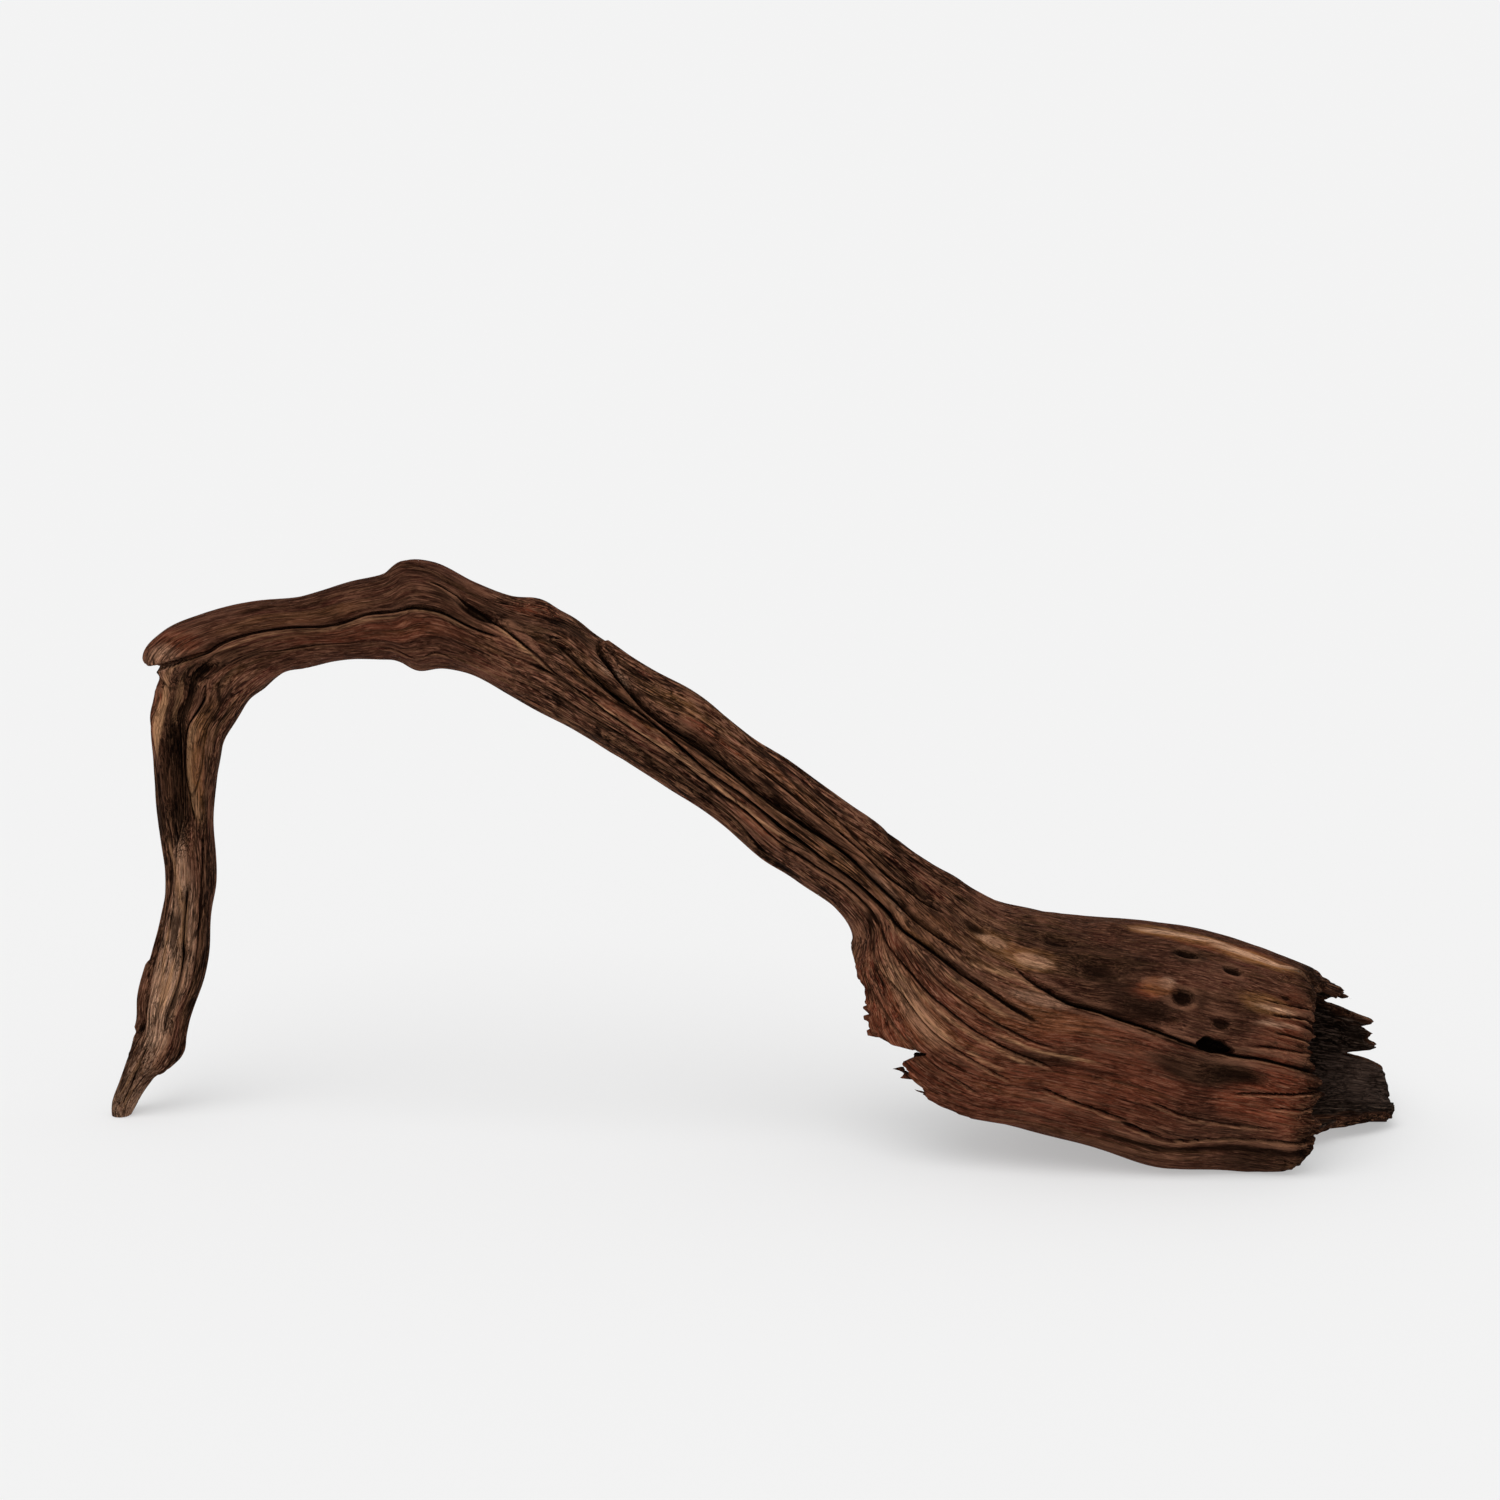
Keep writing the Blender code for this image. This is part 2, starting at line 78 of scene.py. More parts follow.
looking = Vector((0, math.cos(ELEVATION), -math.sin(ELEVATION)))
camera = bpy.data.objects.new("camera", bpy.data.cameras.new("camera"))
bpy.context.collection.objects.link(camera)
camera.data.lens = 100
camera.data.sensor_width = 36
camera.location = TARGET - looking * DISTANCE
camera.rotation_euler = looking.to_track_quat("-Z", "Y").to_euler()
bpy.context.scene.camera = camera
print("camera at", [round(v, 3) for v in camera.location])

# %% [markdown]
# ## The form of the branch
# A branch is a tube whose section changes all the way. It could be a curve with a
# bevel, but a bevel is round everywhere, and this one is a flat oval in the foot
# and slanted in the neck. So each station below gives the two edges of the branch
# as seen from the front, its depth along y, and half of its thickness there, in
# millimetres. They are the stations of the CAD model, which makes both agree.

# %% The stations of the branch
MM = 0.001
CENTRE = np.array([0.0, 3.25, 0.0])
STATIONS = (
    # the tip of the leg, standing on the ground
    (-313, -3, -303, -3, 39, 6.5),
    (-313, 5, -299, 6, 40, 8.5),
    (-308, 19, -291, 17, 41, 9.5),
    (-302, 35, -282, 24, 43, 11),
    (-298, 45, -277, 32, 45, 12),
    # the leg
    (-297, 58, -273, 46, 47, 12.5),
    (-291, 79, -265, 67, 50, 13),
    (-286, 97, -261, 91, 52, 13),
    (-283, 121, -259, 118, 53, 13),
    (-285, 151, -259, 148, 52, 13.5),
    (-287, 177, -255, 173, 50, 14),
    (-287, 199, -249, 194, 47, 15),
    # the elbow
    (-284, 212, -240, 206, 45, 16),
    (-289, 229, -229, 215, 42, 17),
    (-280, 241, -217, 222, 39, 17.5),
    (-261, 250, -204, 226, 36, 17.5),
    # the level stretch and the knuckle
    (-236, 257, -190, 229, 33, 17.5),
    (-212, 260, -176, 230, 30, 18),
    (-188, 268, -165, 230, 27, 19),
    (-172, 273, -156, 227, 24, 21),
    (-162, 279, -147, 228, 22, 22),
    (-149, 278, -139, 228, 20, 22),
    # the trunk, sloping down
    (-131, 269, -130, 226, 18, 21.5),
    (-108, 260, -115, 218, 16, 21),
    (-87, 254, -98, 208, 15, 20.5),
    (-68, 240, -77, 195, 15, 20),
    (-46, 226, -55, 181, 16, 20),
    (-23, 214, -33, 167, 16, 20.5),
    (-1, 198, -13, 153, 15, 21),
    (19, 185, 5, 137, 13, 22),
    (41, 167, 22, 127, 11, 23),
    (62, 153, 40, 114, 8, 25),
    # the neck, where the inner edge turns down into the heel
    (78, 141, 49, 100, 6, 28),
    (93, 132, 44, 84, 4, 33),
    (108, 123, 47, 66, 2, 38),
    (124, 115, 52, 48, 1, 43),
    (142, 111, 66, 31, 0, 48),
    # the foot, whose inner edge is its sole
    (162, 108, 89, 21, 0, 52),
    (182, 106, 122, 17, 0, 56),
    (203, 103, 156, 9, 0, 58),
    (224, 98, 189, -1, 0, 59),
    (246, 92, 224, -4, 0, 59),
    (265, 85, 252, -8, 0, 59),
    (287, 76, 277, -7.5, 2, 57),
    (320, 64, 313, -8, 4, 53),
)
TABLE = np.array(STATIONS, float)
OUTER_STEPS = np.hypot(np.diff(TABLE[:, 0]), np.diff(TABLE[:, 1]))
INNER_STEPS = np.hypot(np.diff(TABLE[:, 2]), np.diff(TABLE[:, 3]))
KNOTS = np.concatenate([[0], np.cumsum((OUTER_STEPS + INNER_STEPS) / 2)])
RUN = KNOTS[-1]
print(f"{len(STATIONS)} stations along {RUN:.0f} mm of branch")

# %% [markdown]
# ## From stations to a smooth tube
# Between the stations the values follow a smooth curve. Each section is a
# superellipse, drawn in polar form so that its points stay evenly spread. A place
# on the branch is then two numbers: the run along it in millimetres, and the angle
# round it, where 0 is the outer edge, 90 the front, 180 the inner edge and 270 the
# back. Everything below, shapes and colours alike, is placed by run and angle.

# %% The smooth tube
ROUND, SQUARE = 2.2, 3.8
SQUARE_FROM, SQUARE_TO = 31, 38


def smooth(knots, values, at):
    """A smooth curve through the values at the knots."""
    knots = np.asarray(knots, float)
    values = np.asarray(values, float).reshape(len(knots), -1)
    gaps = np.diff(knots)[:, None]
    slopes = np.diff(values, axis=0) / gaps
    tangents = np.empty_like(values)
    tangents[1:-1] = (slopes[:-1] * gaps[1:] + slopes[1:] * gaps[:-1]) / (gaps[:-1] + gaps[1:])
    tangents[0] = slopes[0]
    tangents[-1] = slopes[-1]
    i = np.clip(np.searchsorted(knots, at, side="right") - 1, 0, len(knots) - 2)
    t = ((at - knots[i]) / (knots[i + 1] - knots[i]))[:, None]
    rise = 3 * t**2 - 2 * t**3
    bend = (t**3 - 2 * t**2 + t) * gaps[i] * tangents[i]
    bend += (t**3 - t**2) * gaps[i] * tangents[i + 1]
    return (1 - rise) * values[i] + rise * values[i + 1] + bend


def ease(x, low, high):
    """0 below low, 1 above high, with a smooth step between."""
    t = np.clip((x - low) / (high - low), 0, 1)
    return t * t * (3 - 2 * t)


def section(runs, angles, walls=(0, 0, 0)):
    """Points of the smooth tube, one row for each run, moved in by the walls."""
    at = smooth(KNOTS, TABLE, runs)
    outer = np.stack([at[:, 0], at[:, 4], at[:, 1]], axis=-1)
    inner = np.stack([at[:, 2], at[:, 4], at[:, 3]], axis=-1)
    unit = (outer - inner) / np.linalg.norm(outer - inner, axis=1, keepdims=True)
    outer = outer - unit * np.reshape(walls[0], (-1, 1))
    inner = inner + unit * np.reshape(walls[1], (-1, 1))
    depth = at[:, 5] - walls[2]
    squarer = ease(runs, KNOTS[SQUARE_FROM], KNOTS[SQUARE_TO])[:, None]
    cos = np.cos(np.radians(angles))[None, :]
    sin = np.sin(np.radians(angles))[None, :]
    power = np.where(cos > 0, ROUND, ROUND + (SQUARE - ROUND) * squarer)
    radius = (np.abs(cos) ** power + np.abs(sin) ** power) ** (-1 / power)
    middle = (outer + inner)[:, None] / 2
    points = middle + (outer - inner)[:, None] / 2 * (radius * cos)[..., None]
    points[..., 1] -= depth[:, None] * radius * sin
    return points


def normals(points):
    """Unit normals of a closed-round grid, pointing out."""
    along = np.gradient(points, axis=0)
    around = np.roll(points, -1, axis=1) - np.roll(points, 1, axis=1)
    out = np.cross(around, along)
    return out / np.linalg.norm(out, axis=-1, keepdims=True)


ROW_STEP = 1.5
COLUMNS = 448
runs = np.linspace(0, RUN, int(RUN / ROW_STEP) + 1)
angles = np.arange(COLUMNS) * 360 / COLUMNS
bare = section(runs, angles)
steps = np.linalg.norm(np.roll(bare, -1, axis=1) - bare, axis=-1)
girth = steps.sum(axis=1)
start = np.cumsum(steps, axis=1) - steps
print(f"grid of {len(runs)} x {COLUMNS}, girth {girth.min():.0f} to {girth.max():.0f} mm")

# %% [markdown]
# ## Flutes, furrows and dents
# The large relief is that of the CAD model: soft flutes from stretched noise,
# furrows that follow the cracks of the photo, and dents. Displacing along the
# normals with numbers keeps it exact, which painting or sculpting wouldn't. Each
# furrow gives a half width, a depth (a ridge is below zero), how far each end
# fades, and its path as (run, angle). Water has worn the level stretch and the foot
# smoother than the rest, so a calm share takes some of the depth away there.

# %% The furrows
FURROWS = (
    # the seam below the upper lobe, from the elbow over the knuckle
    (4.5, 5.0, 3, 25, ((228, -12), (232, 22), (237, 46), (245, 64), (272, 68), (306, 73),
                       (331, 68), (357, 73), (377, 75), (400, 70))),
    (5.0, 2.0, 15, 30, ((250, 103), (264, 103), (304, 112), (365, 112))),
    (4.0, 2.0, 15, 20, ((268, 30), (300, 36), (345, 40), (372, 34))),
    # the deep flute down the front of the elbow, with a lip on each side
    (9.0, 8.5, 25, 14, ((138, 58), (159, 82), (177, 86), (200, 76), (218, 68), (237, 80),
                        (254, 90))),
    (4.0, -2.5, 12, 15, ((160, 50), (178, 52), (200, 40), (222, 28), (234, 38))),
    (4.5, -2.5, 20, 15, ((150, 128), (168, 124), (196, 114), (214, 108), (246, 112))),
    # furrows and a splinter down the leg
    (4.0, 3.5, 20, 20, ((48, 100), (68, 107), (88, 100), (105, 86), (130, 88))),
    (3.6, -2.0, 15, 20, ((60, 74), (95, 62), (118, 64), (145, 68))),
    (3.6, 3.5, 4, 14, ((42, 30), (60, 38), (79, 28), (104, 24))),
    (3.6, 2.5, 8, 10, ((8, 88), (27, 74), (40, 75))),
    (4.0, -1.8, 1.5, 3, ((43, 6), (60, 8), (80, 10))),
    (4.0, 3.0, 25, 25, ((60, 270), (120, 262), (170, 275), (215, 265))),
    # the knuckle and the upper trunk: strands that part and join again
    (6.0, 6.0, 8, 12, ((370, 44), (381, 50), (395, 50))),
    (3.6, 3.5, 8, 20, ((362, 26), (381, 18), (410, 4))),
    (4.5, -3.5, 10, 22, ((386, 50), (400, 58), (412, 78), (450, 76))),
    (3.6, 3.5, 12, 18, ((410, 50), (437, 62), (457, 68), (480, 71))),
    (3.6, 4.0, 3, 30, ((437, 22), (454, 44), (469, 60), (483, 65), (520, 66))),
    (5.0, -4.5, 1.5, 45, ((439, 8), (459, 14), (485, 20), (530, 24))),
    (3.6, 3.0, 20, 30, ((430, 336), (470, 342), (520, 350), (560, 352))),
    # the two long cracks that run from the knuckle to the foot
    (3.6, 4.5, 15, 45, ((448, 44), (479, 71), (515, 75), (577, 73), (600, 78), (628, 66),
                        (665, 56))),
    (3.6, 4.0, 15, 70, ((437, 62), (470, 80), (500, 92), (555, 94), (609, 93), (634, 76),
                        (669, 68), (712, 78))),
    (3.6, -2.5, 20, 40, ((470, 60), (515, 62), (577, 60), (600, 64), (640, 52))),
    (4.5, -1.6, 30, 50, ((480, 106), (540, 112), (600, 112), (640, 98), (700, 96))),
    (3.6, 3.5, 20, 20, ((440, 122), (467, 124), (503, 132), (530, 137), (556, 154))),
    (4.0, 3.0, 20, 25, ((560, 128), (590, 118), (620, 120), (660, 108))),
    # the upper side of the neck
    (5.0, 3.5, 25, 30, ((560, 40), (600, 46), (628, 40), (660, 34))),
    (5.0, 3.0, 25, 30, ((570, 14), (610, 16), (650, 10))),
    # the foot: a crack over its front, and lower ones
    (3.6, 3.0, 20, 6, ((672, 50), (717, 63), (751, 68), (778, 73), (804, 72), (850, 72))),
    (3.6, 1.4, 12, 15, ((690, 92), (720, 97), (752, 98), (775, 92))),
    (3.6, 1.6, 12, 20, ((715, 108), (753, 116), (775, 112))),
    (3.6, 1.6, 12, 12, ((780, 102), (800, 108), (825, 111))),
    (5.0, -1.5, 25, 25, ((700, 88), (751, 84), (790, 86), (830, 88))),
    (4.0, 3.2, 20, 4, ((748, 128), (784, 126), (804, 124), (850, 122))),
    (4.0, 1.4, 15, 25, ((640, 118), (660, 112), (690, 112), (715, 118))),
    (3.6, 1.4, 15, 20, ((645, 134), (665, 128), (700, 128))),
    (4.0, 1.8, 15, 6, ((770, 34), (800, 38), (840, 36))),
    # the back
    (5.0, 5.0, 30, 40, ((260, 285), (330, 280), (400, 290), (470, 300), (540, 292))),
    (3.6, 4.0, 30, 40, ((430, 250), (500, 256), (580, 262), (660, 270))),
    (4.0, 4.0, 30, 30, ((570, 300), (640, 296), (720, 290), (800, 296))),
    (4.0, 3.5, 30, 10, ((680, 262), (740, 266), (800, 262), (860, 268))),
    (4.0, 3.0, 20, 20, ((620, 236), (660, 244), (720, 246), (780, 240))),
    (4.0, 3.0, 20, 20, ((640, 326), (700, 320), (760, 326), (830, 322))),
)


def off_path(path):
    """How far each grid point lies from a path, measured round the branch."""
    knots = np.array([p[0] for p in path], float)
    turn = smooth(knots, [p[1] for p in path], np.clip(runs, knots[0], knots[-1]))[:, 0]
    place = (turn % 360) / 360 * COLUMNS
    i = place.astype(int) % COLUMNS
    part = place - np.floor(place)
    rows = np.arange(len(runs))
    ahead = np.where(i + 1 >= COLUMNS, girth, start[rows, (i + 1) % COLUMNS])
    off = start - (start[rows, i] * (1 - part) + ahead * part)[:, None]
    return (off + girth[:, None] / 2) % girth[:, None] - girth[:, None] / 2


def fading(path, fade_in, fade_out):
    """1 along a path, falling to 0 at its two ends."""
    rise = ease(runs, path[0][0] - 0.01, path[0][0] + fade_in)
    return (rise * (1 - ease(runs, path[-1][0] - fade_out, path[-1][0] + 0.01)))[:, None]


def furrows(table):
    """The depth of all furrows of a table together, at each grid point."""
    depth = np.zeros(start.shape)
    for half_width, deep, fade_in, fade_out, path in table:
        shape = np.clip(1 - (off_path(path) / half_width) ** 2, 0, 1) ** 2
        depth += deep * fading(path, fade_in, fade_out) * shape
    return depth


# How much of the furrows is left along the branch, as (run, share).
CALM = ((0, 1), (240, 1), (262, 0.5), (360, 0.5), (410, 0.8), (600, 0.8), (690, 0.6),
        (760, 0.5), (900, 0.5))
calm = np.interp(runs, *np.transpose(CALM))[:, None]
furrowed = furrows(FURROWS) * calm
print(f"{len(FURROWS)} furrows, up to {furrowed.max():.1f} mm deep")

# %% [markdown]
# Dents and warts are soft bumps, each an ellipse of so many millimetres along and
# round the branch. The sole is scooped between two runners, on which the foot
# stands. The soft flutes come from noise whose cells are long and narrow.

# %% Dents, sole and flutes
DENTS = (
    # run, angle, reach along, reach round, depth (a swelling is below zero)
    (752, 62, 26, 11, 3.0), (717, 40, 20, 10, 2.5), (689, 28, 14, 7, 2.2), (621, 49, 14, 6, 2.5),
    (652, 40, 12, 6, 2.5), (766, 19, 9, 5, 4.0), (794, 26, 8, 5, 3.0), (768, 50, 8, 6, 3.5),
    (792, 58, 7, 4, 2.5), (806, 84, 22, 8, 3.0), (752, 45, 14, 5, -1.8), (660, 42, 11, 4, -1.4),
    (683, 44, 13, 4, -1.4), (699, 64, 15, 4, -1.4), (348, 8, 14, 9, -2.0), (405, 356, 12, 9, -2.0),
    (45, 175, 9, 7, -1.2), (230, 2, 7, 18, 5.0), (690, 300, 22, 14, 4.0), (780, 255, 18, 12, 3.5),
    (500, 275, 20, 8, 2.5),
    # swellings that show in the outline
    (315, 0, 28, 16, -1.6), (402, 4, 20, 14, -2.0), (445, 350, 14, 10, -1.2),
    (500, 5, 50, 14, -1.0),
    (578, 2, 34, 14, -2.2), (635, 4, 16, 14, -1.6), (678, 2, 26, 16, -2.6), (716, 0, 16, 16, -2.0),
    (838, 8, 20, 16, -2.2), (620, 178, 24, 14, -1.8), (211, 165, 16, 10, -1.8),
    (248, 175, 16, 12, 1.6),
    (155, 355, 36, 12, -1.2), (110, 180, 18, 10, 1.4), (338, 180, 20, 10, -1.0),
)
SCOOP_FROM, SCOOP_FULL, SCOOP_HALF_WIDTH, SCOOP_DEPTH = 690, 790, 42, 12
# Cell length, cells round the branch, depth.
FLUTES = ((110, 8, 1.5), (46, 17, 0.9), (24, 34, 0.55))
DENT_GAIN = 1.25


def wave_noise(runs, angles, cell, cells_round, seed):
    """Smooth noise from -1 to 1, stretched along the grain and seamless round it."""
    rng = np.random.default_rng(seed)
    rows = int(RUN / cell) + 4
    values = rng.uniform(-1, 1, (rows, cells_round))
    row = np.clip(runs / cell + 1, 0, rows - 2.001)
    column = (angles / 360 * cells_round) % cells_round
    i = row.astype(int)
    j = column.astype(int) % cells_round
    s = row - i
    t = column - np.floor(column)
    s = (s * s * (3 - 2 * s))[:, None]
    t = (t * t * (3 - 2 * t))[None, :]
    k = (j + 1) % cells_round
    low = values[i][:, j] * (1 - t) + values[i][:, k] * t
    high = values[i + 1][:, j] * (1 - t) + values[i + 1][:, k] * t
    return low * (1 - s) + high * s


def off_angle(angle):
    """How far each grid point lies round the branch from an angle."""
    off = start - start[:, [int(round(angle / 360 * COLUMNS)) % COLUMNS]]
    return (off + girth[:, None] / 2) % girth[:, None] - girth[:, None] / 2


width = smooth(KNOTS, TABLE[:, 5], runs)[:, 0]
form = -furrowed
for seed, (cell, cells_round, depth) in enumerate(FLUTES):
    strength = depth * np.clip(width / 20, 0.35, 1.5)
    form += strength[:, None] * wave_noise(runs, angles, cell, cells_round, seed)
for run, angle, along, around, depth in DENTS:
    reach = ((runs - run) / along)[:, None] ** 2 + (off_angle(angle) / around) ** 2
    form -= depth * (DENT_GAIN if depth > 0 else 1) * np.clip(1 - reach, 0, 1) ** 2
scoop = np.clip(1 - (off_angle(180) / SCOOP_HALF_WIDTH) ** 2, 0, 1) ** 2
form -= SCOOP_DEPTH * ease(runs, SCOOP_FROM, SCOOP_FULL)[:, None] * scoop
print(f"large relief from {form.min():.1f} to {form.max():.1f} mm")

# %% [markdown]
# ## The grain
# Weathered wood shows its fibres: long strands with sharp valleys between them,
# thin layers that end in a step, drying cracks, and fine threads. Ordinary noise
# can't do this, because its cells sit in rows. Here each strand is its own line of
# random values with its own start, and the strand's number comes from the angle.
# The angle is first bent a little, so that the grain wanders as real grain does.
# Where the branch gets thicker, more strands join in, so their width stays real:
# each count of strands, a power of two, is blended in where it fits the girth.

# %% Fibre noise
def strand_noise(angle, length, count, seed):
    """Noise from -1 to 1 in long strands, each with its own start along the grain."""
    rng = np.random.default_rng(seed)
    cells = int(RUN / length) + 4
    values = rng.uniform(-1, 1, (count, cells))
    phase = rng.uniform(0, 1, count)
    place = (angle / 360 * count) % count
    j = np.minimum(place.astype(int), count - 1)
    t = place - j
    t = t * t * (3 - 2 * t)

    def strand(n):
        row = runs[:, None] / length + phase[n] + 1
        i = row.astype(int)
        s = row - i
        s = s * s * (3 - 2 * s)
        return values[n, i] * (1 - s) + values[n, i + 1] * s

    return strand(j) * (1 - t) + strand((j + 1) % count) * t


def fibres(angle, length, wide, seed):
    """Strand noise whose strands keep about the same width in thick and thin places."""
    level = np.log2(girth / wide)
    total = np.zeros(start.shape)
    shares = np.zeros(len(level))
    for octave in range(int(level.min()), int(level.max()) + 2):
        share = np.clip(1.5 - np.abs(level - octave) * 2, 0, 1)
        total += share[:, None] * strand_noise(angle, length, 2**octave, seed + octave)
        shares += share
    return total / shares[:, None]


wander = 5.0 * wave_noise(runs, angles, 90, 6, 31) + 2.2 * wave_noise(runs, angles, 34, 14, 32)
bent = angles[None, :] + wander
print(f"the grain wanders by up to {np.abs(wander).max():.1f} degrees")

# %% [markdown]
# Not every part of the branch is equally rough. The leg, the trunk and the torn toe
# show all of their fibres, while the elbow's lobe, the level stretch and the front
# of the foot are worn smooth. One curve along the run says how lively the grain is,
# and a few spots mark the smoothest hollows of the foot. Painting a mask by hand
# would do the same, but a curve is easier to read and to change.

# %% Where the wood is worn smooth
WORN = (
    # run, angle, reach along, reach round in degrees
    (689, 29, 22, 16), (717, 38, 24, 14), (752, 60, 28, 13), (789, 83, 20, 9), (819, 76, 18, 8),
    (652, 43, 16, 14), (621, 49, 16, 14), (678, 26, 18, 12), (770, 95, 30, 12),
)


def spot(run, angle, along, around, grid_runs, grid_angles):
    """1 at a place on the branch, falling to 0 at its reach."""
    turned = (grid_angles - angle + 180) % 360 - 180
    reach = ((grid_runs - run) / along) ** 2 + (turned / around) ** 2
    return np.clip(1 - reach, 0, 1)


worn = np.zeros(start.shape)
for run, angle, along, around in WORN:
    worn = np.maximum(worn, spot(run, angle, along, around, runs[:, None], angles[None, :]))
rough = 1 - 0.7 * ease(worn, 0, 0.7)
thick = np.clip(width / 20, 0.6, 1.25)[:, None]

# How lively the grain is, as (run, share).
LIVELY = ((0, 1), (232, 0.9), (262, 0.3), (368, 0.3), (395, 0.6), (430, 1), (600, 1),
          (680, 0.5), (750, 0.2), (832, 0.3), (858, 0.9), (900, 1))
lively = np.interp(runs, *np.transpose(LIVELY))[:, None]
print(f"{(lively < 0.5).mean():.2f} of the branch is calm, {(worn > 0).mean():.2f} is worn smooth")

# %% [markdown]
# The relief of the grain is the sum of four layers. Valleys and cracks sit where a
# strand noise crosses zero, because that is a thin, long, wandering line. The
# layers are a noise pushed towards its two ends, which turns slopes into steps.

# %% Strands, layers, drying cracks and threads
VALLEY_DEPTH, LAYER_STEP, CRACK_DEPTH, THREAD_DEPTH = 0.8, 0.28, 0.8, 0.5

rope = strand_noise(bent, 150, 14, 41)
gaps = 0.3 + 0.7 * ease(wave_noise(runs, angles, 48, 9, 34), -0.4, 0.3)
valleys = np.exp(-((rope / 0.12) ** 2)) * thick * lively * gaps
layers = np.tanh(5 * fibres(bent, 95, 9, 50)) * (0.3 + 0.7 * lively)
split = fibres(bent, 62, 6.5, 70)
patchy = ease(wave_noise(runs, angles, 55, 12, 33), -0.3, 0.3)
cracks = np.exp(-((split / 0.10) ** 2)) * patchy * (0.2 + 0.8 * lively)
threads = 0.6 * fibres(bent, 26, 2.8, 90) + 0.4 * fibres(bent, 13, 1.8, 110)

grain = -VALLEY_DEPTH * valleys + LAYER_STEP * layers - CRACK_DEPTH * cracks
grain = (grain + THREAD_DEPTH * threads * (0.5 + 0.5 * lively)) * rough
print(f"relief of the grain from {grain.min():.1f} to {grain.max():.1f} mm")

# %% [markdown]
# ## The named cracks and pits
# The long dark cracks of the photo are what the eye follows first, so they aren't
# left to chance. Each one is cut as a narrow groove along the bottom of its furrow,
# with a slight wobble. The mesh can't show an edge sharper than its faces, so the
# distance to each crack is kept too, for a crisp dark line in the finish. A point
# can hold only a few numbers, so cracks that lie well apart share one sheet of
# distances. The pits of the foot are small, and some of them are left by worms.

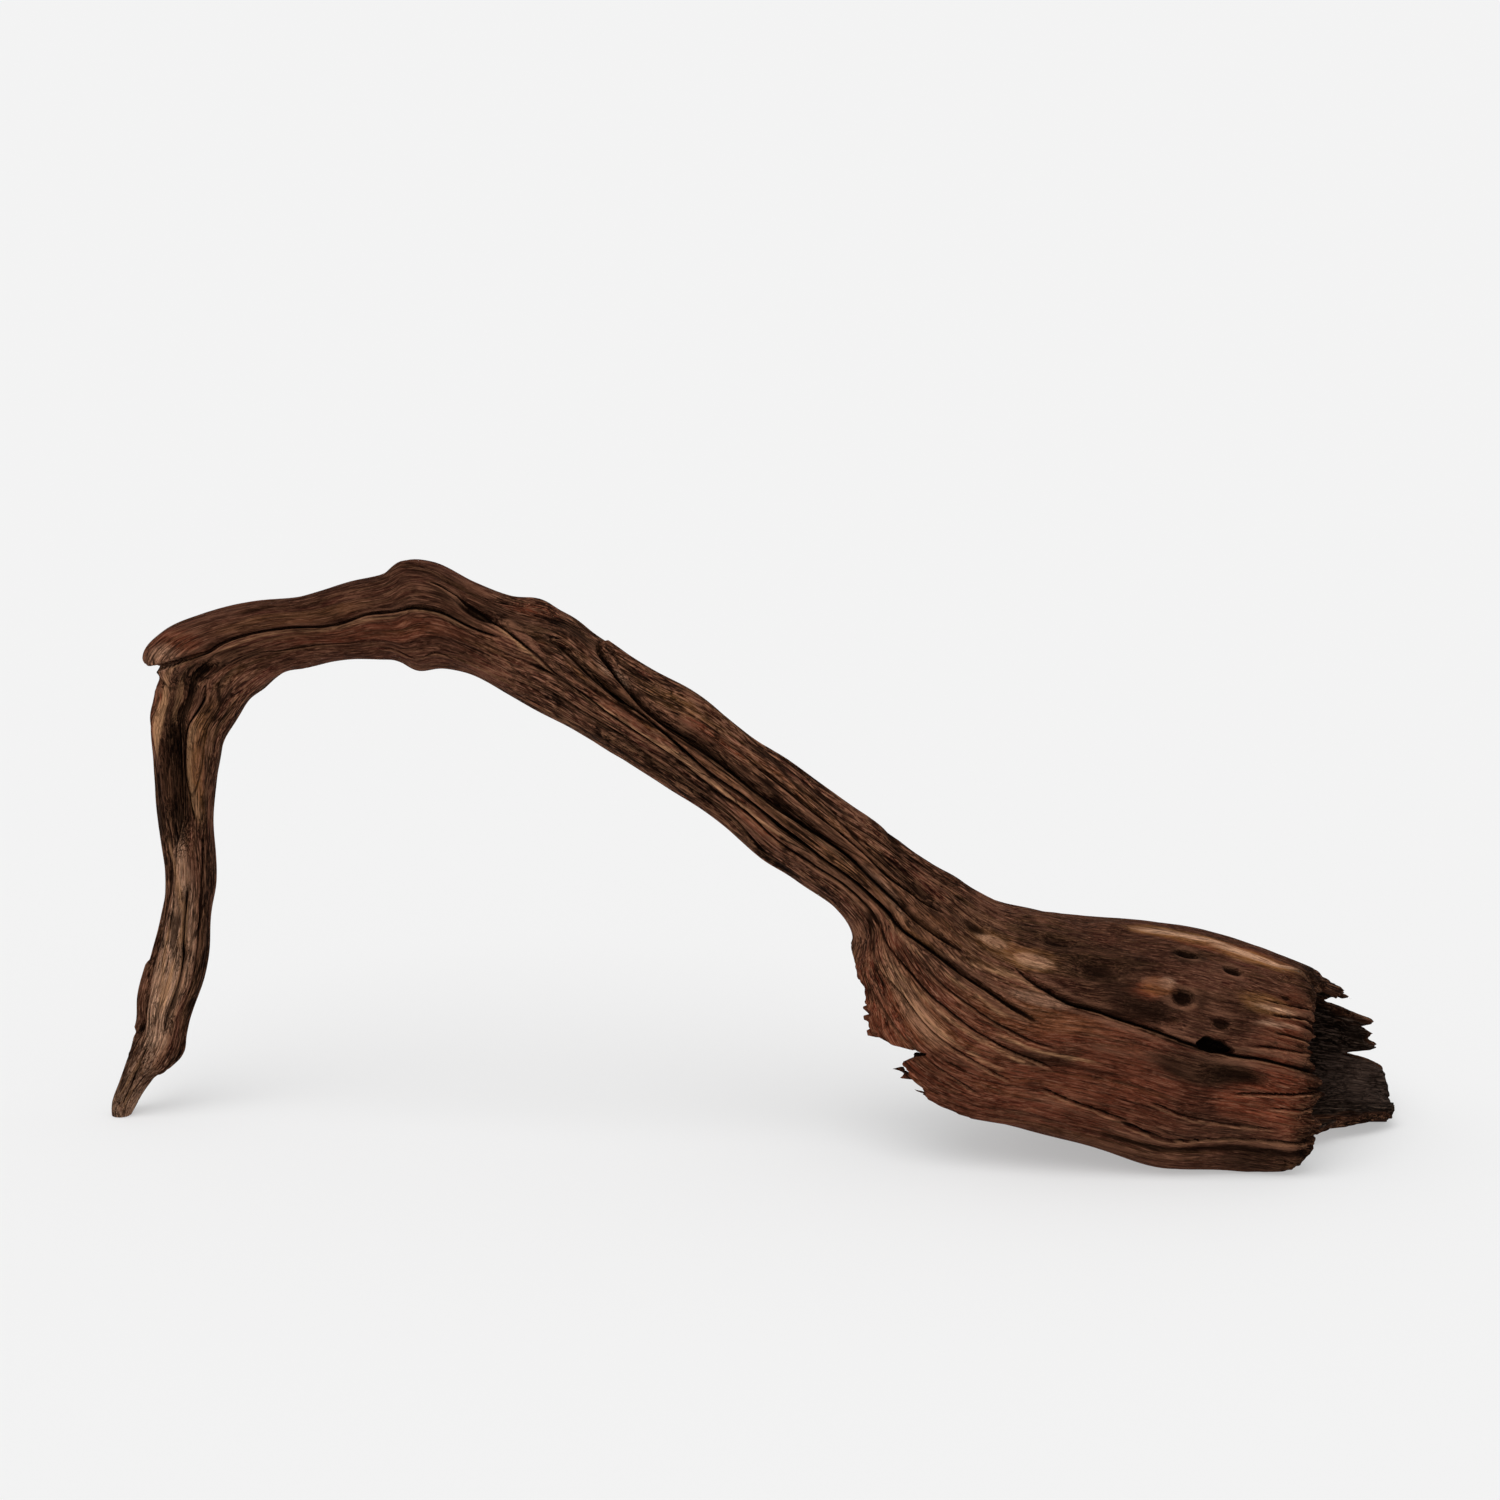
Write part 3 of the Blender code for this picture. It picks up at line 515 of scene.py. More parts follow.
# %% Cracks and pits
CRACKS = (
    # half width, depth, fade at each end, path
    # the seam below the upper lobe, and the lines of the level stretch
    (0.9, 3.0, 4, 20, ((229, -8), (233, 20), (237, 42), (243, 60), (252, 74), (265, 71),
                       (280, 70), (294, 71),
                       (308, 74), (318, 74), (326, 70), (339, 68), (351, 73), (362, 74),
                       (373, 75), (397, 70))),
    (0.5, 0.9, 10, 20, ((262, 93), (272, 102), (287, 107), (304, 105), (325, 105))),
    (0.6, 1.2, 6, 8, ((322, 128), (336, 123), (345, 131), (355, 124), (368, 134))),
    (0.8, 1.8, 6, 10, ((358, 40), (370, 44), (380, 46), (388, 56), (397, 63), (407, 75),
                       (418, 86), (435, 89))),
    # the flute of the elbow and the leg
    (1.0, 2.2, 8, 10, ((157, 121), (169, 109), (178, 95), (197, 90), (213, 92), (232, 97))),
    (1.4, 2.4, 12, 14, ((140, 50), (159, 72), (177, 76), (200, 66), (218, 56), (237, 74),
                        (254, 85))),
    (1.0, 2.4, 10, 10, ((50, 98), (68, 108), (88, 102), (105, 85), (129, 87))),
    (1.0, 2.4, 4, 10, ((44, 23), (60, 45), (79, 30), (104, 27))),
    (0.9, 2.0, 4, 6, ((9, 91), (27, 73), (45, 73))),
    (0.7, 1.6, 10, 10, ((92, 62), (110, 58), (135, 64), (160, 50))),
    (0.7, 1.4, 10, 10, ((70, 128), (100, 120), (135, 126), (165, 140))),
    # the knuckle and the upper trunk
    (1.1, 3.0, 6, 14, ((412, 52), (437, 65), (457, 69), (472, 71))),
    (1.1, 3.4, 3, 20, ((437, 20), (454, 47), (469, 63), (483, 69), (505, 68))),
    (1.0, 2.4, 5, 8, ((366, 28), (380, 17), (396, 6))),
    # the two long cracks, and one below them
    (1.2, 3.6, 8, 25, ((435, 28), (451, 48), (479, 71), (515, 75), (548, 76), (577, 73), (600, 78),
                       (628, 66), (660, 57))),
    (1.2, 3.6, 8, 25, ((437, 58), (470, 73), (500, 92), (529, 92), (555, 94), (582, 96), (609, 93),
                       (634, 76), (669, 68), (713, 78))),
    (1.0, 2.6, 10, 12, ((442, 122), (467, 124), (503, 132), (530, 137), (548, 151))),
    (0.9, 2.2, 14, 14, ((520, 52), (560, 54), (600, 60), (640, 46))),
    (0.9, 2.0, 14, 14, ((480, 104), (530, 106), (580, 108), (620, 104))),
    (0.7, 1.6, 14, 14, ((400, 88), (440, 92), (480, 98), (520, 112))),
    (0.7, 1.6, 14, 14, ((410, 110), (450, 110), (500, 116), (550, 122))),
    (0.7, 1.6, 14, 14, ((540, 30), (580, 34), (620, 30), (660, 22))),
    # the foot
    (0.8, 2.6, 12, 4, ((676, 51), (717, 63), (751, 68), (778, 71), (790, 72), (804, 72),
                       (823, 71), (845, 72))),
    (0.7, 1.8, 8, 10, ((727, 111), (743, 115), (756, 117), (773, 118))),
    (0.6, 1.6, 8, 8, ((770, 105), (792, 108), (809, 110), (835, 108))),
    (0.9, 2.6, 12, 3, ((762, 119), (788, 120), (811, 118), (848, 114))),
    (0.7, 1.6, 10, 10, ((608, 105), (652, 91), (688, 91), (731, 101))),
    (0.7, 1.6, 10, 10, ((615, 122), (648, 107), (679, 104), (719, 111))),
    (0.6, 1.2, 10, 10, ((622, 132), (655, 119), (690, 117), (712, 122))),
    (0.6, 1.2, 10, 10, ((640, 84), (670, 80), (700, 84), (726, 90))),
    (0.7, 2.0, 12, 3, ((808, 40), (822, 39), (850, 35))),
    (0.8, 2.2, 8, 3, ((816, 48), (832, 45), (850, 44))),
    (0.7, 1.8, 8, 3, ((818, 57), (832, 56), (850, 56))),
    (0.7, 1.8, 12, 3, ((806, 66), (830, 63), (850, 61))),
    (0.7, 1.8, 12, 4, ((804, 94), (822, 90), (850, 82))),
    (0.7, 1.8, 10, 4, ((822, 98), (835, 96), (850, 94))),
    # the back
    (1.2, 3.4, 20, 30, ((270, 284), (330, 280), (400, 290), (470, 300), (530, 292))),
    (1.1, 3.0, 20, 30, ((440, 250), (500, 256), (580, 262), (650, 270))),
    (1.1, 3.0, 20, 30, ((580, 300), (640, 296), (720, 290), (800, 296))),
    (1.0, 2.6, 20, 6, ((690, 262), (740, 266), (800, 262), (860, 268))),
    (1.0, 2.4, 20, 20, ((625, 236), (660, 244), (720, 246), (775, 240))),
)
PITS = (
    # run, angle, reach along, reach round, depth
    (379, 52, 8.0, 3.5, 2.0), (767, 21, 5.5, 1.2, 0.6), (793, 25, 3.6, 1.2, 0.8),
    (725, 95, 3.0, 0.9, 0.8),
    (808, 52, 5.0, 0.8, 0.8), (700, 58, 2.0, 0.9, 0.8),
    (826, 34, 3.0, 1.2, 1.6), (840, 48, 3.5, 1.2, 1.8), (604, 88, 3.0, 1.0, 1.0),
    (690, 112, 3.4, 0.8, 1.0),
)
CRACK_REACH = (3.5, 6)
FAR_OFF = 9.0
wobble = 0.9 * strand_noise(bent, 18, 24, 61)
cut = np.zeros(start.shape)
crack_sheets = []
for half_width, deep, fade_in, fade_out, path in CRACKS:
    off = off_path(path) + wobble
    present = fading(path, fade_in, fade_out)
    open_width = half_width * (1 + 0.35 * wave_noise(runs, angles, 21, 5, 62))
    cut = np.maximum(cut, deep * present * np.clip(1 - (off / open_width) ** 2, 0, 1))
    # A sheet is two grids: how far off the crack is, and how strong it is.
    strong = present * (1 - ease(np.abs(off), *CRACK_REACH)) * min(1, half_width)
    for sheet in crack_sheets:
        if not ((sheet[1] > 0) & (strong > 0)).any():
            break
    else:
        sheet = [np.full(start.shape, FAR_OFF), np.zeros(start.shape)]
        crack_sheets.append(sheet)
    sheet[0] = np.where(strong > 0, off, sheet[0])
    sheet[1] = np.maximum(sheet[1], strong)
for run, angle, along, around, deep in PITS:
    reach = ((runs - run) / along)[:, None] ** 2 + (off_angle(angle) / around) ** 2
    cut = np.maximum(cut, deep * np.clip(1.3 - reach, 0, 1))
grain -= cut
print(f"{len(CRACKS)} cracks on {len(crack_sheets)} sheets, {len(PITS)} pits")
print(f"cut up to {cut.max():.1f} mm deep")

# %% [markdown]
# ## Where the wood is torn
# The foot is torn off at the toe, where the back wall stands out further than the
# front one, and at the heel, below the trunk. A tear is a curtain: a surface
# x = f(y, z) that follows the outline of the broken wall, with noise of several
# sizes on it, for the ends of bundles of fibres and of single ones. The noise is
# cut deep where it is high, which leaves narrow notches between the splinters. The
# tear is worked out first, because the skin has to know where it ends: close to it
# the skin rounds off, and splits open between the bundles.

# %% The torn ends of the walls
TOE_FRONT = (
    (-20, 251), (-4, 253), (9, 258), (16, 263), (28, 265), (34, 262), (42, 267), (50, 264),
    (56, 259), (64, 260), (73, 262), (83, 264), (93, 260), (120, 254),
)
TOE_BACK = (
    (-20, 275), (-14, 277), (-12, 285), (-10, 292), (-8, 293), (-6, 299), (-4, 303), (1, 308),
    (7, 311), (13, 311), (18, 308), (22, 303), (25, 295), (27, 290), (29, 304), (31, 307),
    (33, 302), (36, 304), (39, 299), (41, 295), (43, 303), (45, 301), (49, 292), (53, 283),
    (56, 277), (59, 284), (62, 280), (64, 287), (66, 281), (69, 283), (72, 276), (95, 268),
    (120, 264),
)
HEEL_FRONT = (
    (-20, 112), (20, 110), (25, 103), (28, 96), (32, 87), (36, 82), (39, 80), (44, 74), (51, 73),
    (54, 76), (56, 84), (58, 84), (60, 62), (63, 58), (72, 57), (80, 54), (91, 49), (99, 43),
    (110, 38),
)
HEEL_BACK = ((-20, 116), (30, 112), (62, 104), (78, 88), (92, 52), (99, 45), (110, 40))
HEEL_TOP = 100
TEAR_CELL, TEAR_DEPTH = 5.5, 3.2
BUNDLE_ENDS, THREAD_ENDS, NOTCH_DEPTH = 2.4, 1.2, 7


def tear(a, b, seed, cell=TEAR_CELL, count=80):
    """Noise from -1 to 1 over a plane, for the ends of broken fibres."""
    rng = np.random.default_rng(seed)
    values = rng.uniform(-1, 1, (count, count))
    u = np.clip((a + 120) / cell, 0, count - 1.1)
    v = np.clip((b + 60) / cell, 0, count - 1.1)
    i, j = u.astype(int), v.astype(int)
    s, t = u - i, v - j
    low = values[i, j] * (1 - t) + values[i, j + 1] * t
    high = values[i + 1, j] * (1 - t) + values[i + 1, j + 1] * t
    return low * (1 - s) + high * s


def splinters(y, z, seed):
    """The finer ends: bundles of 2 mm, single threads, and deep notches between them."""
    ends = BUNDLE_ENDS * tear(y, z, seed, 2.4, 120)
    ends = ends + THREAD_ENDS * tear(y, z, seed + 1, 1.3, 200)
    return ends - NOTCH_DEPTH * ease(tear(y, z, seed + 10, 3.4, 90), 0.35, 0.85)


# %% The curtains of the toe and the heel
bundles = fibres(bent, 45, 9, 130)
TOE_RUN, TOE_MIDDLE, TOE_HALF, TOE_END = 856, (3, 31), (55, 39), 313
END_SOFTNESS = 1.2


def notches(y, z):
    """Deep notches at the toe, where the skin splits between two bundles of fibres."""
    across_y, across_z = (TOE_MIDDLE[0] - y) / TOE_HALF[0], (z - TOE_MIDDLE[1]) / TOE_HALF[1]
    turned = np.degrees(np.arctan2(across_y, across_z)) % 360
    row = bundles[int(TOE_RUN / RUN * (len(runs) - 1))]
    return NOTCH_DEPTH * np.exp(-np.abs(np.interp(turned, angles, row, period=360)) / 0.11)


def toe_edge(y, z):
    """Where the toe ends: the front wall's tear runs over into the back wall's."""
    front = np.interp(z, *np.transpose(TOE_FRONT))
    back = np.interp(z, *np.transpose(TOE_BACK))
    share = ease(y, -26, 24)
    ragged = (TEAR_DEPTH * tear(y, z, 21) + splinters(y, z, 23)) * (0.45 + 0.1 * share)
    edge = front * (1 - share) + back * share + ragged - notches(y, z) * (1 - 0.6 * share) + 2
    return edge - END_SOFTNESS * np.log1p(np.exp((edge - TOE_END) / END_SOFTNESS))


def heel_edge(y, z):
    """Where the heel ends, below the trunk."""
    front = np.interp(z, *np.transpose(HEEL_FRONT))
    back = np.interp(z, *np.transpose(HEEL_BACK))
    share = ease(y, -18, 12)
    ragged = (TEAR_DEPTH * tear(y, z, 22) + splinters(y, z, 25)) * ease(HEEL_TOP - z, 4, 20)
    return front * (1 - share) + back * share + ragged


print(f"{len(TOE_FRONT) + len(TOE_BACK)} points along the toe's tear, "
      f"{len(HEEL_FRONT) + len(HEEL_BACK)} along the heel's")

# %% [markdown]
# ## The skin as a mesh
# The grid of points becomes a mesh of triangles. Filling the mesh through
# foreach_set takes whole arrays at once, which is many times faster than adding
# one face at a time, and there are over half a million faces here.

# %% A mesh from a grid
def new_object(name, points, faces):
    """A mesh object from points in millimetres and an array of triangles."""
    placed = (np.asarray(points, float).reshape(-1, 3) - CENTRE) * MM
    faces = np.asarray(faces, np.int32)
    mesh = bpy.data.meshes.new(name)
    mesh.vertices.add(len(placed))
    mesh.vertices.foreach_set("co", placed.astype(np.float32).ravel())
    mesh.loops.add(faces.size)
    mesh.loops.foreach_set("vertex_index", faces.ravel())
    mesh.polygons.add(len(faces))
    mesh.polygons.foreach_set("loop_start", np.arange(len(faces), dtype=np.int32) * 3)
    mesh.update(calc_edges=True)
    made = bpy.data.objects.new(name, mesh)
    bpy.context.collection.objects.link(made)
    return made


def tube(name, points):
    """A closed tube from a grid of points, with a fan of triangles over each end."""
    rows, columns = points.shape[:2]
    i, j = np.meshgrid(np.arange(rows - 1), np.arange(columns), indexing="ij")
    k = (j + 1) % columns
    low = i * columns
    high = low + columns
    sides = np.stack([low + j, low + k, high + k, low + j, high + k, high + j], axis=-1)
    j = np.arange(columns)
    k = (j + 1) % columns
    first = rows * columns
    last = first + 1
    top = (rows - 1) * columns
    bottom_fan = np.stack([np.full(columns, first), k, j], axis=-1)
    top_fan = np.stack([np.full(columns, last), top + j, top + k], axis=-1)
    faces = np.concatenate([sides.reshape(-1, 3), bottom_fan, top_fan])
    ends = np.stack([points[0].mean(axis=0), points[-1].mean(axis=0)])
    return new_object(name, np.concatenate([points.reshape(-1, 3), ends]), faces)


# %% [markdown]
# The skin is the smooth tube lifted by all of the relief, and set in by a hair so
# that it stays inside the CAD model's box. Towards the toe it rounds off and splits
# between the bundles. At the tip of the leg the outer layer has come away, which
# leaves a low, ragged ledge round the leg.

# %% The skin of the branch
SET_IN, FULL_RELIEF_AT = 0.25, 8
TEAR_ROUNDING, TEAR_REACH = 2.6, 5.5
SPLIT_OPENING, SPLIT_WIDTH, SPLIT_REACH = 2.6, 0.14, (6, 22)
LEDGE_RUN, LEDGE_WAVE, LEDGE_HEIGHT = 37, 8, 0.9

outward = normals(bare)
lift = (form + grain - SET_IN) * ease(runs, 0, FULL_RELIEF_AT)[:, None]
to_tear = toe_edge(bare[..., 1], bare[..., 2]) - bare[..., 0]
lift -= TEAR_ROUNDING * (1 - ease(to_tear, 0, TEAR_REACH)) ** 2
opened = SPLIT_OPENING * np.exp(-((bundles / SPLIT_WIDTH) ** 2))
lift -= opened * (1 - ease(to_tear, *SPLIT_REACH)) * ease(runs, 700, 760)[:, None]
ledge = LEDGE_RUN + LEDGE_WAVE * wave_noise(np.zeros(1), angles, 90, 11, 35)
lift -= LEDGE_HEIGHT * (1 - ease(runs[:, None] - ledge, -1.5, 1.5))
skin = bare + outward * lift[..., None]
wood = tube("driftwood_wood", skin)
print(f"skin of {len(wood.data.polygons)} triangles")

# %% [markdown]
# ## The hollow and the torn ends
# The foot has rotted out from the inside, so a second tube, moved in by the wall's
# thickness, is cut from the first. Its wall is uneven, and lumpy near the toe, as
# rot leaves it. Then the toe and the heel are cut off along their curtains. That
# leaves the splinters standing along the grain, which a plane cut wouldn't.

# %% The cutter for the hollow
HOLLOW_FROM, HOLLOW_ROUNDING = 652, 34
HOLLOW_RUNS = (652, 700, 760, 900)
WALL_OUTER, WALL_INNER, WALL_SIDE = (24, 12, 10, 9), (6, 7, 19, 19), (14, 9, 9, 8)

room_runs = np.linspace(HOLLOW_FROM + 0.3, RUN - 1, 140)
room_angles = np.arange(150) * 2.4
walls = [np.interp(room_runs, HOLLOW_RUNS, wall) for wall in (WALL_OUTER, WALL_INNER, WALL_SIDE)]
room = section(room_runs, room_angles, walls)
room_middle = room.mean(axis=1, keepdims=True)
open_share = np.clip((room_runs - HOLLOW_FROM) / HOLLOW_ROUNDING, 0, 1)
size = np.sqrt(1 - (1 - open_share) ** 2)[:, None, None]


def wall_noise(strength, cell, cells_round, seed):
    """Lumps of the hollow's wall, as a share of its size."""
    return strength * wave_noise(room_runs, room_angles, cell, cells_round, seed)


uneven = 1 + wall_noise(0.03, 30, 14, 5)
uneven += wall_noise(0.022, 14, 40, 6) + wall_noise(0.012, 5, 90, 7)
lumps_at_toe = wall_noise(0.045, 9, 22, 8) + wall_noise(0.03, 4, 60, 9)
uneven -= ease(room_runs, 838, 862)[:, None] * lumps_at_toe
hollow = tube("hollow_cutter", room_middle + (room - room_middle) * size * uneven[..., None])
print(f"hollow of {len(hollow.data.polygons)} triangles")

# %% Curtains along the torn ends
def curtain(name, edge, far, y_range, z_range, step):
    """A cutter that fills the space between x = edge(y, z) and x = far."""
    y = np.arange(y_range[0], y_range[1] + step, step)
    z = np.arange(z_range[0], z_range[1] + 0.01, step)
    tall, wide = len(y), len(z)
    grid_y, grid_z = np.meshgrid(y, z, indexing="ij")
    torn = np.stack([edge(grid_y, grid_z), grid_y, grid_z], axis=-1)
    flat = torn.copy()
    flat[..., 0] = far
    count = tall * wide
    i, j = np.meshgrid(np.arange(tall - 1), np.arange(wide - 1), indexing="ij")
    a = (i * wide + j).ravel()
    near = np.concatenate([np.stack([a, a + 1, a + wide + 1], -1),
                           np.stack([a, a + wide + 1, a + wide], -1)])
    border = [*range(wide), *(i * wide + wide - 1 for i in range(1, tall))]
    border += [(tall - 1) * wide + j for j in reversed(range(wide - 1))]
    border += [i * wide for i in reversed(range(1, tall - 1))]
    b = np.array(border)
    c = np.roll(b, -1)
    rim = np.concatenate([np.stack([c, b, count + b], -1),
                          np.stack([c, count + b, count + c], -1)])
    faces = np.concatenate([near, count + near[:, ::-1], rim])
    if far < torn[..., 0].min():
        faces = faces[:, ::-1]
    return new_object(name, np.concatenate([torn.reshape(-1, 3), flat.reshape(-1, 3)]), faces)


toe = curtain("toe_cutter", toe_edge, 380, (-80.3, 80), (-30.4, 150), 0.9)
heel = curtain("heel_cutter", heel_edge, -60, (-80.7, 80), (-30.2, HEEL_TOP), 0.9)
print(f"curtains of {len(toe.data.polygons)} and {len(heel.data.polygons)} triangles")

# %% [markdown]
# ## The knot hole and the cuts
# One black hole goes through the front wall, where a small branch once grew. Its
# cutter is an egg with a flat underside, turned to lie along the crack. Three places
# close together on the tube give the direction along the branch and round it.

# %% The knot hole
HOLE_RUN, HOLE_ANGLE, HOLE_SIZE = 792, 71, (8.8, 5.6, 15.0)
FLAT_UNDERSIDE = 0.35

patch = section(HOLE_RUN + np.array([-2.0, 0, 2.0]), HOLE_ANGLE + np.array([-1.0, 0, 1.0]))
lengthwise = patch[2, 1] - patch[0, 1]
lengthwise /= np.linalg.norm(lengthwise)
upward = patch[1, 0] - patch[1, 2]
upward -= lengthwise * (upward @ lengthwise)
upward /= np.linalg.norm(upward)
theta = np.linspace(0.06, math.pi - 0.06, 25)[:, None, None]
phi = (np.arange(40) * math.pi / 20)[None, :, None]
lumpy = 1 + 0.12 * np.sin(3 * phi + 1) + 0.07 * np.sin(7 * phi)
half_long, half_tall, half_deep = HOLE_SIZE
half_tall = np.where(np.sin(phi) > 0, 1, FLAT_UNDERSIDE) * half_tall
egg = patch[1, 1] + half_deep * np.cos(theta) * np.cross(lengthwise, upward)
egg = egg + half_long * lumpy * np.sin(theta) * np.cos(phi) * lengthwise
egg = egg + half_tall * lumpy * np.sin(theta) * np.sin(phi) * upward
knot_hole = tube("knot_hole_cutter", egg[:, ::-1])
hole_long, hole_tall = 2 * HOLE_SIZE[0], HOLE_SIZE[1] * (1 + FLAT_UNDERSIDE)
print(f"knot hole of {hole_long:.0f} mm by about {hole_tall:.0f} mm")

# %% [markdown]
# All cutters are taken off with Boolean modifiers. The Manifold solver is used,
# because every mesh here is closed, and it does in a second what the exact one needs
# a minute for. A cut that would come out empty is noticed by counting faces.

# %% The cuts
MOST_TRIANGLES = 192000


def apply_modifiers(made):
    """Replaces an object's mesh by what its modifiers make of it."""
    graph = bpy.context.evaluated_depsgraph_get()
    old = made.data
    made.data = bpy.data.meshes.new_from_object(made.evaluated_get(graph))
    made.modifiers.clear()
    bpy.data.meshes.remove(old)


def cut_off(target, cutter):
    """Takes a cutter's space away from an object, and the cutter out of the scene."""
    modifier = target.modifiers.new(cutter.name, "BOOLEAN")
    modifier.operation = "DIFFERENCE"
    modifier.solver = "MANIFOLD"
    modifier.object = cutter
    apply_modifiers(target)
    print(f"{cutter.name} cut off: {len(target.data.polygons)} faces left")
    bpy.data.objects.remove(cutter, do_unlink=True)


for cutter in (hollow, heel, toe, knot_hole):
    cut_off(wood, cutter)

# %% [markdown]
# Splinters may come loose in a tear, and only the largest connected piece is the
# wood. Each point starts with its own number, and the lowest number spreads along
# the edges until nothing changes: then each piece carries one number. Last, Decimate
# takes out the faces that flat places don't need.

# %% Only the largest piece
def keep_largest(made):
    """Removes all but the largest connected piece, and says how many there were."""
    mesh = made.data
    edges = np.empty(len(mesh.edges) * 2, np.int32)
    mesh.edges.foreach_get("vertices", edges)
    edges = edges.reshape(-1, 2)
    label = np.arange(len(mesh.vertices))
    while True:
        low = np.minimum(label[edges[:, 0]], label[edges[:, 1]])
        new = label.copy()
        np.minimum.at(new, edges[:, 0], low)
        np.minimum.at(new, edges[:, 1], low)
        new = new[new]
        if (new == label).all():
            break
        label = new
    names, counts = np.unique(label, return_counts=True)
    keep = label == names[counts.argmax()]
    corner = np.empty(len(mesh.loops), np.int32)
    mesh.loops.foreach_get("vertex_index", corner)
    mesh.calc_loop_triangles()
    triangles = np.empty(len(mesh.loop_triangles) * 3, np.int32)
    mesh.loop_triangles.foreach_get("vertices", triangles)
    triangles = triangles.reshape(-1, 3)
    triangles = triangles[keep[triangles[:, 0]]]
    points = np.empty(len(mesh.vertices) * 3, np.float32)
    mesh.vertices.foreach_get("co", points)
    number = np.cumsum(keep) - 1
    rebuilt = new_object(made.name, points.reshape(-1, 3)[keep] / MM + CENTRE, number[triangles])
    made.data = rebuilt.data
    bpy.data.objects.remove(rebuilt, do_unlink=True)
    return len(names)


print("connected pieces before clearing:", keep_largest(wood))
thin = wood.modifiers.new("thin out", "DECIMATE")
thin.ratio = min(1, MOST_TRIANGLES / len(wood.data.polygons))
apply_modifiers(wood)
print(f"thinned to {len(wood.data.polygons)} triangles")

# %% [markdown]
# A piece of wood stands on a few worn spots. A box below the ground, taken off last,
# makes them flat and puts them exactly at height zero.

# %% The flat spots on the ground
corners = [(x, y, z) for x in (-500, 500) for y in (-300, 300) for z in (-60, 0)]
box_faces = ((0, 1, 3), (0, 3, 2), (4, 6, 7), (4, 7, 5), (0, 4, 5), (0, 5, 1),
             (2, 3, 7), (2, 7, 6), (0, 2, 6), (0, 6, 4), (1, 5, 7), (1, 7, 3))
ground = new_object("ground_cutter", corners, box_faces)
cut_off(wood, ground)
print("connected pieces at the end:", keep_largest(wood))

# %% [markdown]
# ## Where each point lies on the branch
# The finish has to follow the grain, also round the elbow and inside the hollow.
# A UV map would stretch there. Instead the branch's own coordinates are worked out
# for each point of the finished mesh: the nearest point of the skin gives a first
# run, a few steps of Newton's method make it exact, and the angle follows. Before
# that, no point may stand outside the CAD model's box, so all are clipped to it.

# %% The nearest run of each point
ROOM_LEFT = 0.00005
points = np.empty(len(wood.data.vertices) * 3, np.float32)
wood.data.vertices.foreach_get("co", points)
lowest = np.array(cad_low) + (ROOM_LEFT, ROOM_LEFT, 0)
points = np.clip(points.reshape(-1, 3), lowest, np.array(cad_high) - ROOM_LEFT)
wood.data.vertices.foreach_set("co", points.astype(np.float32).ravel())
place = points / MM + CENTRE

coarse = skin[::2, ::8]
tree = kdtree.KDTree(coarse.shape[0] * coarse.shape[1])
for index, point in enumerate(coarse.reshape(-1, 3)):
    tree.insert(point, index)
tree.balance()
nearest = np.array([tree.find(p)[1] for p in place])
run_at = runs[::2][nearest // coarse.shape[1]]
print(f"{len(place)} points, nearest to {len(np.unique(nearest))} of {len(nearest)} tree points")

# %% The exact run and angle of each point
DENSE = np.linspace(0, RUN, 3601)
dense = smooth(KNOTS, TABLE, DENSE)


def across(run):
    """The middle, the half width and the unit direction across the branch at a run."""
    at = np.stack([np.interp(run, DENSE, dense[:, c]) for c in range(6)], axis=-1)
    middle = np.stack([at[:, 0] + at[:, 2], at[:, 1] + at[:, 3]], axis=-1) / 2
    reach = np.stack([at[:, 0] - at[:, 2], at[:, 1] - at[:, 3]], axis=-1) / 2
    half = np.linalg.norm(reach, axis=-1)
    return middle, half, reach / half[:, None], at[:, 4], at[:, 5]


def ahead_of(run):
    """How far each point lies ahead of the section at its run."""
    middle, _, unit, _, _ = across(run)
    return (place[:, 0] - middle[:, 0]) * unit[:, 1] - (place[:, 2] - middle[:, 1]) * unit[:, 0]


for _ in range(8):
    miss = ahead_of(run_at)
    slope = ahead_of(run_at + 0.5) - ahead_of(run_at - 0.5)
    slope = np.where(np.abs(slope) < 0.25, np.sign(slope + 1e-9) * 0.25, slope)
    run_at = np.clip(run_at - np.clip(miss / slope, -4, 4), 0, RUN)
middle_at, half_at, unit_at, depth_y, thickness = across(run_at)
offset_a = ((place[:, [0, 2]] - middle_at) * unit_at).sum(axis=-1) / half_at
offset_b = (depth_y - place[:, 1]) / thickness
angle_at = np.degrees(np.arctan2(offset_b, offset_a)) % 360
print(f"runs {run_at.min():.0f} to {run_at.max():.0f} mm")
print(f"left over {np.abs(ahead_of(run_at)).mean():.3f} mm")


# %% [markdown]
# Any grid of the skin can now be read at each point of the finished mesh. The first
# use is a test: a point that lies well below the skin belongs to a cut or to the
# hollow, and needs another colour.

# %% Depth below the skin
def sample(grid, run, angle):
    """The value of a grid of the skin at any run and angle."""
    row = np.clip(run / RUN * (len(runs) - 1), 0, len(runs) - 1.001)
    column = (angle / 360 * COLUMNS) % COLUMNS
    i, j = row.astype(int), np.minimum(column.astype(int), COLUMNS - 1)
    s, t = row - i, column - j
    k = (j + 1) % COLUMNS
    if grid.ndim == 3:
        s, t = s[:, None], t[:, None]
    low = grid[i, j] * (1 - t) + grid[i, k] * t
    high = grid[i + 1, j] * (1 - t) + grid[i + 1, k] * t
    return low * (1 - s) + high * s


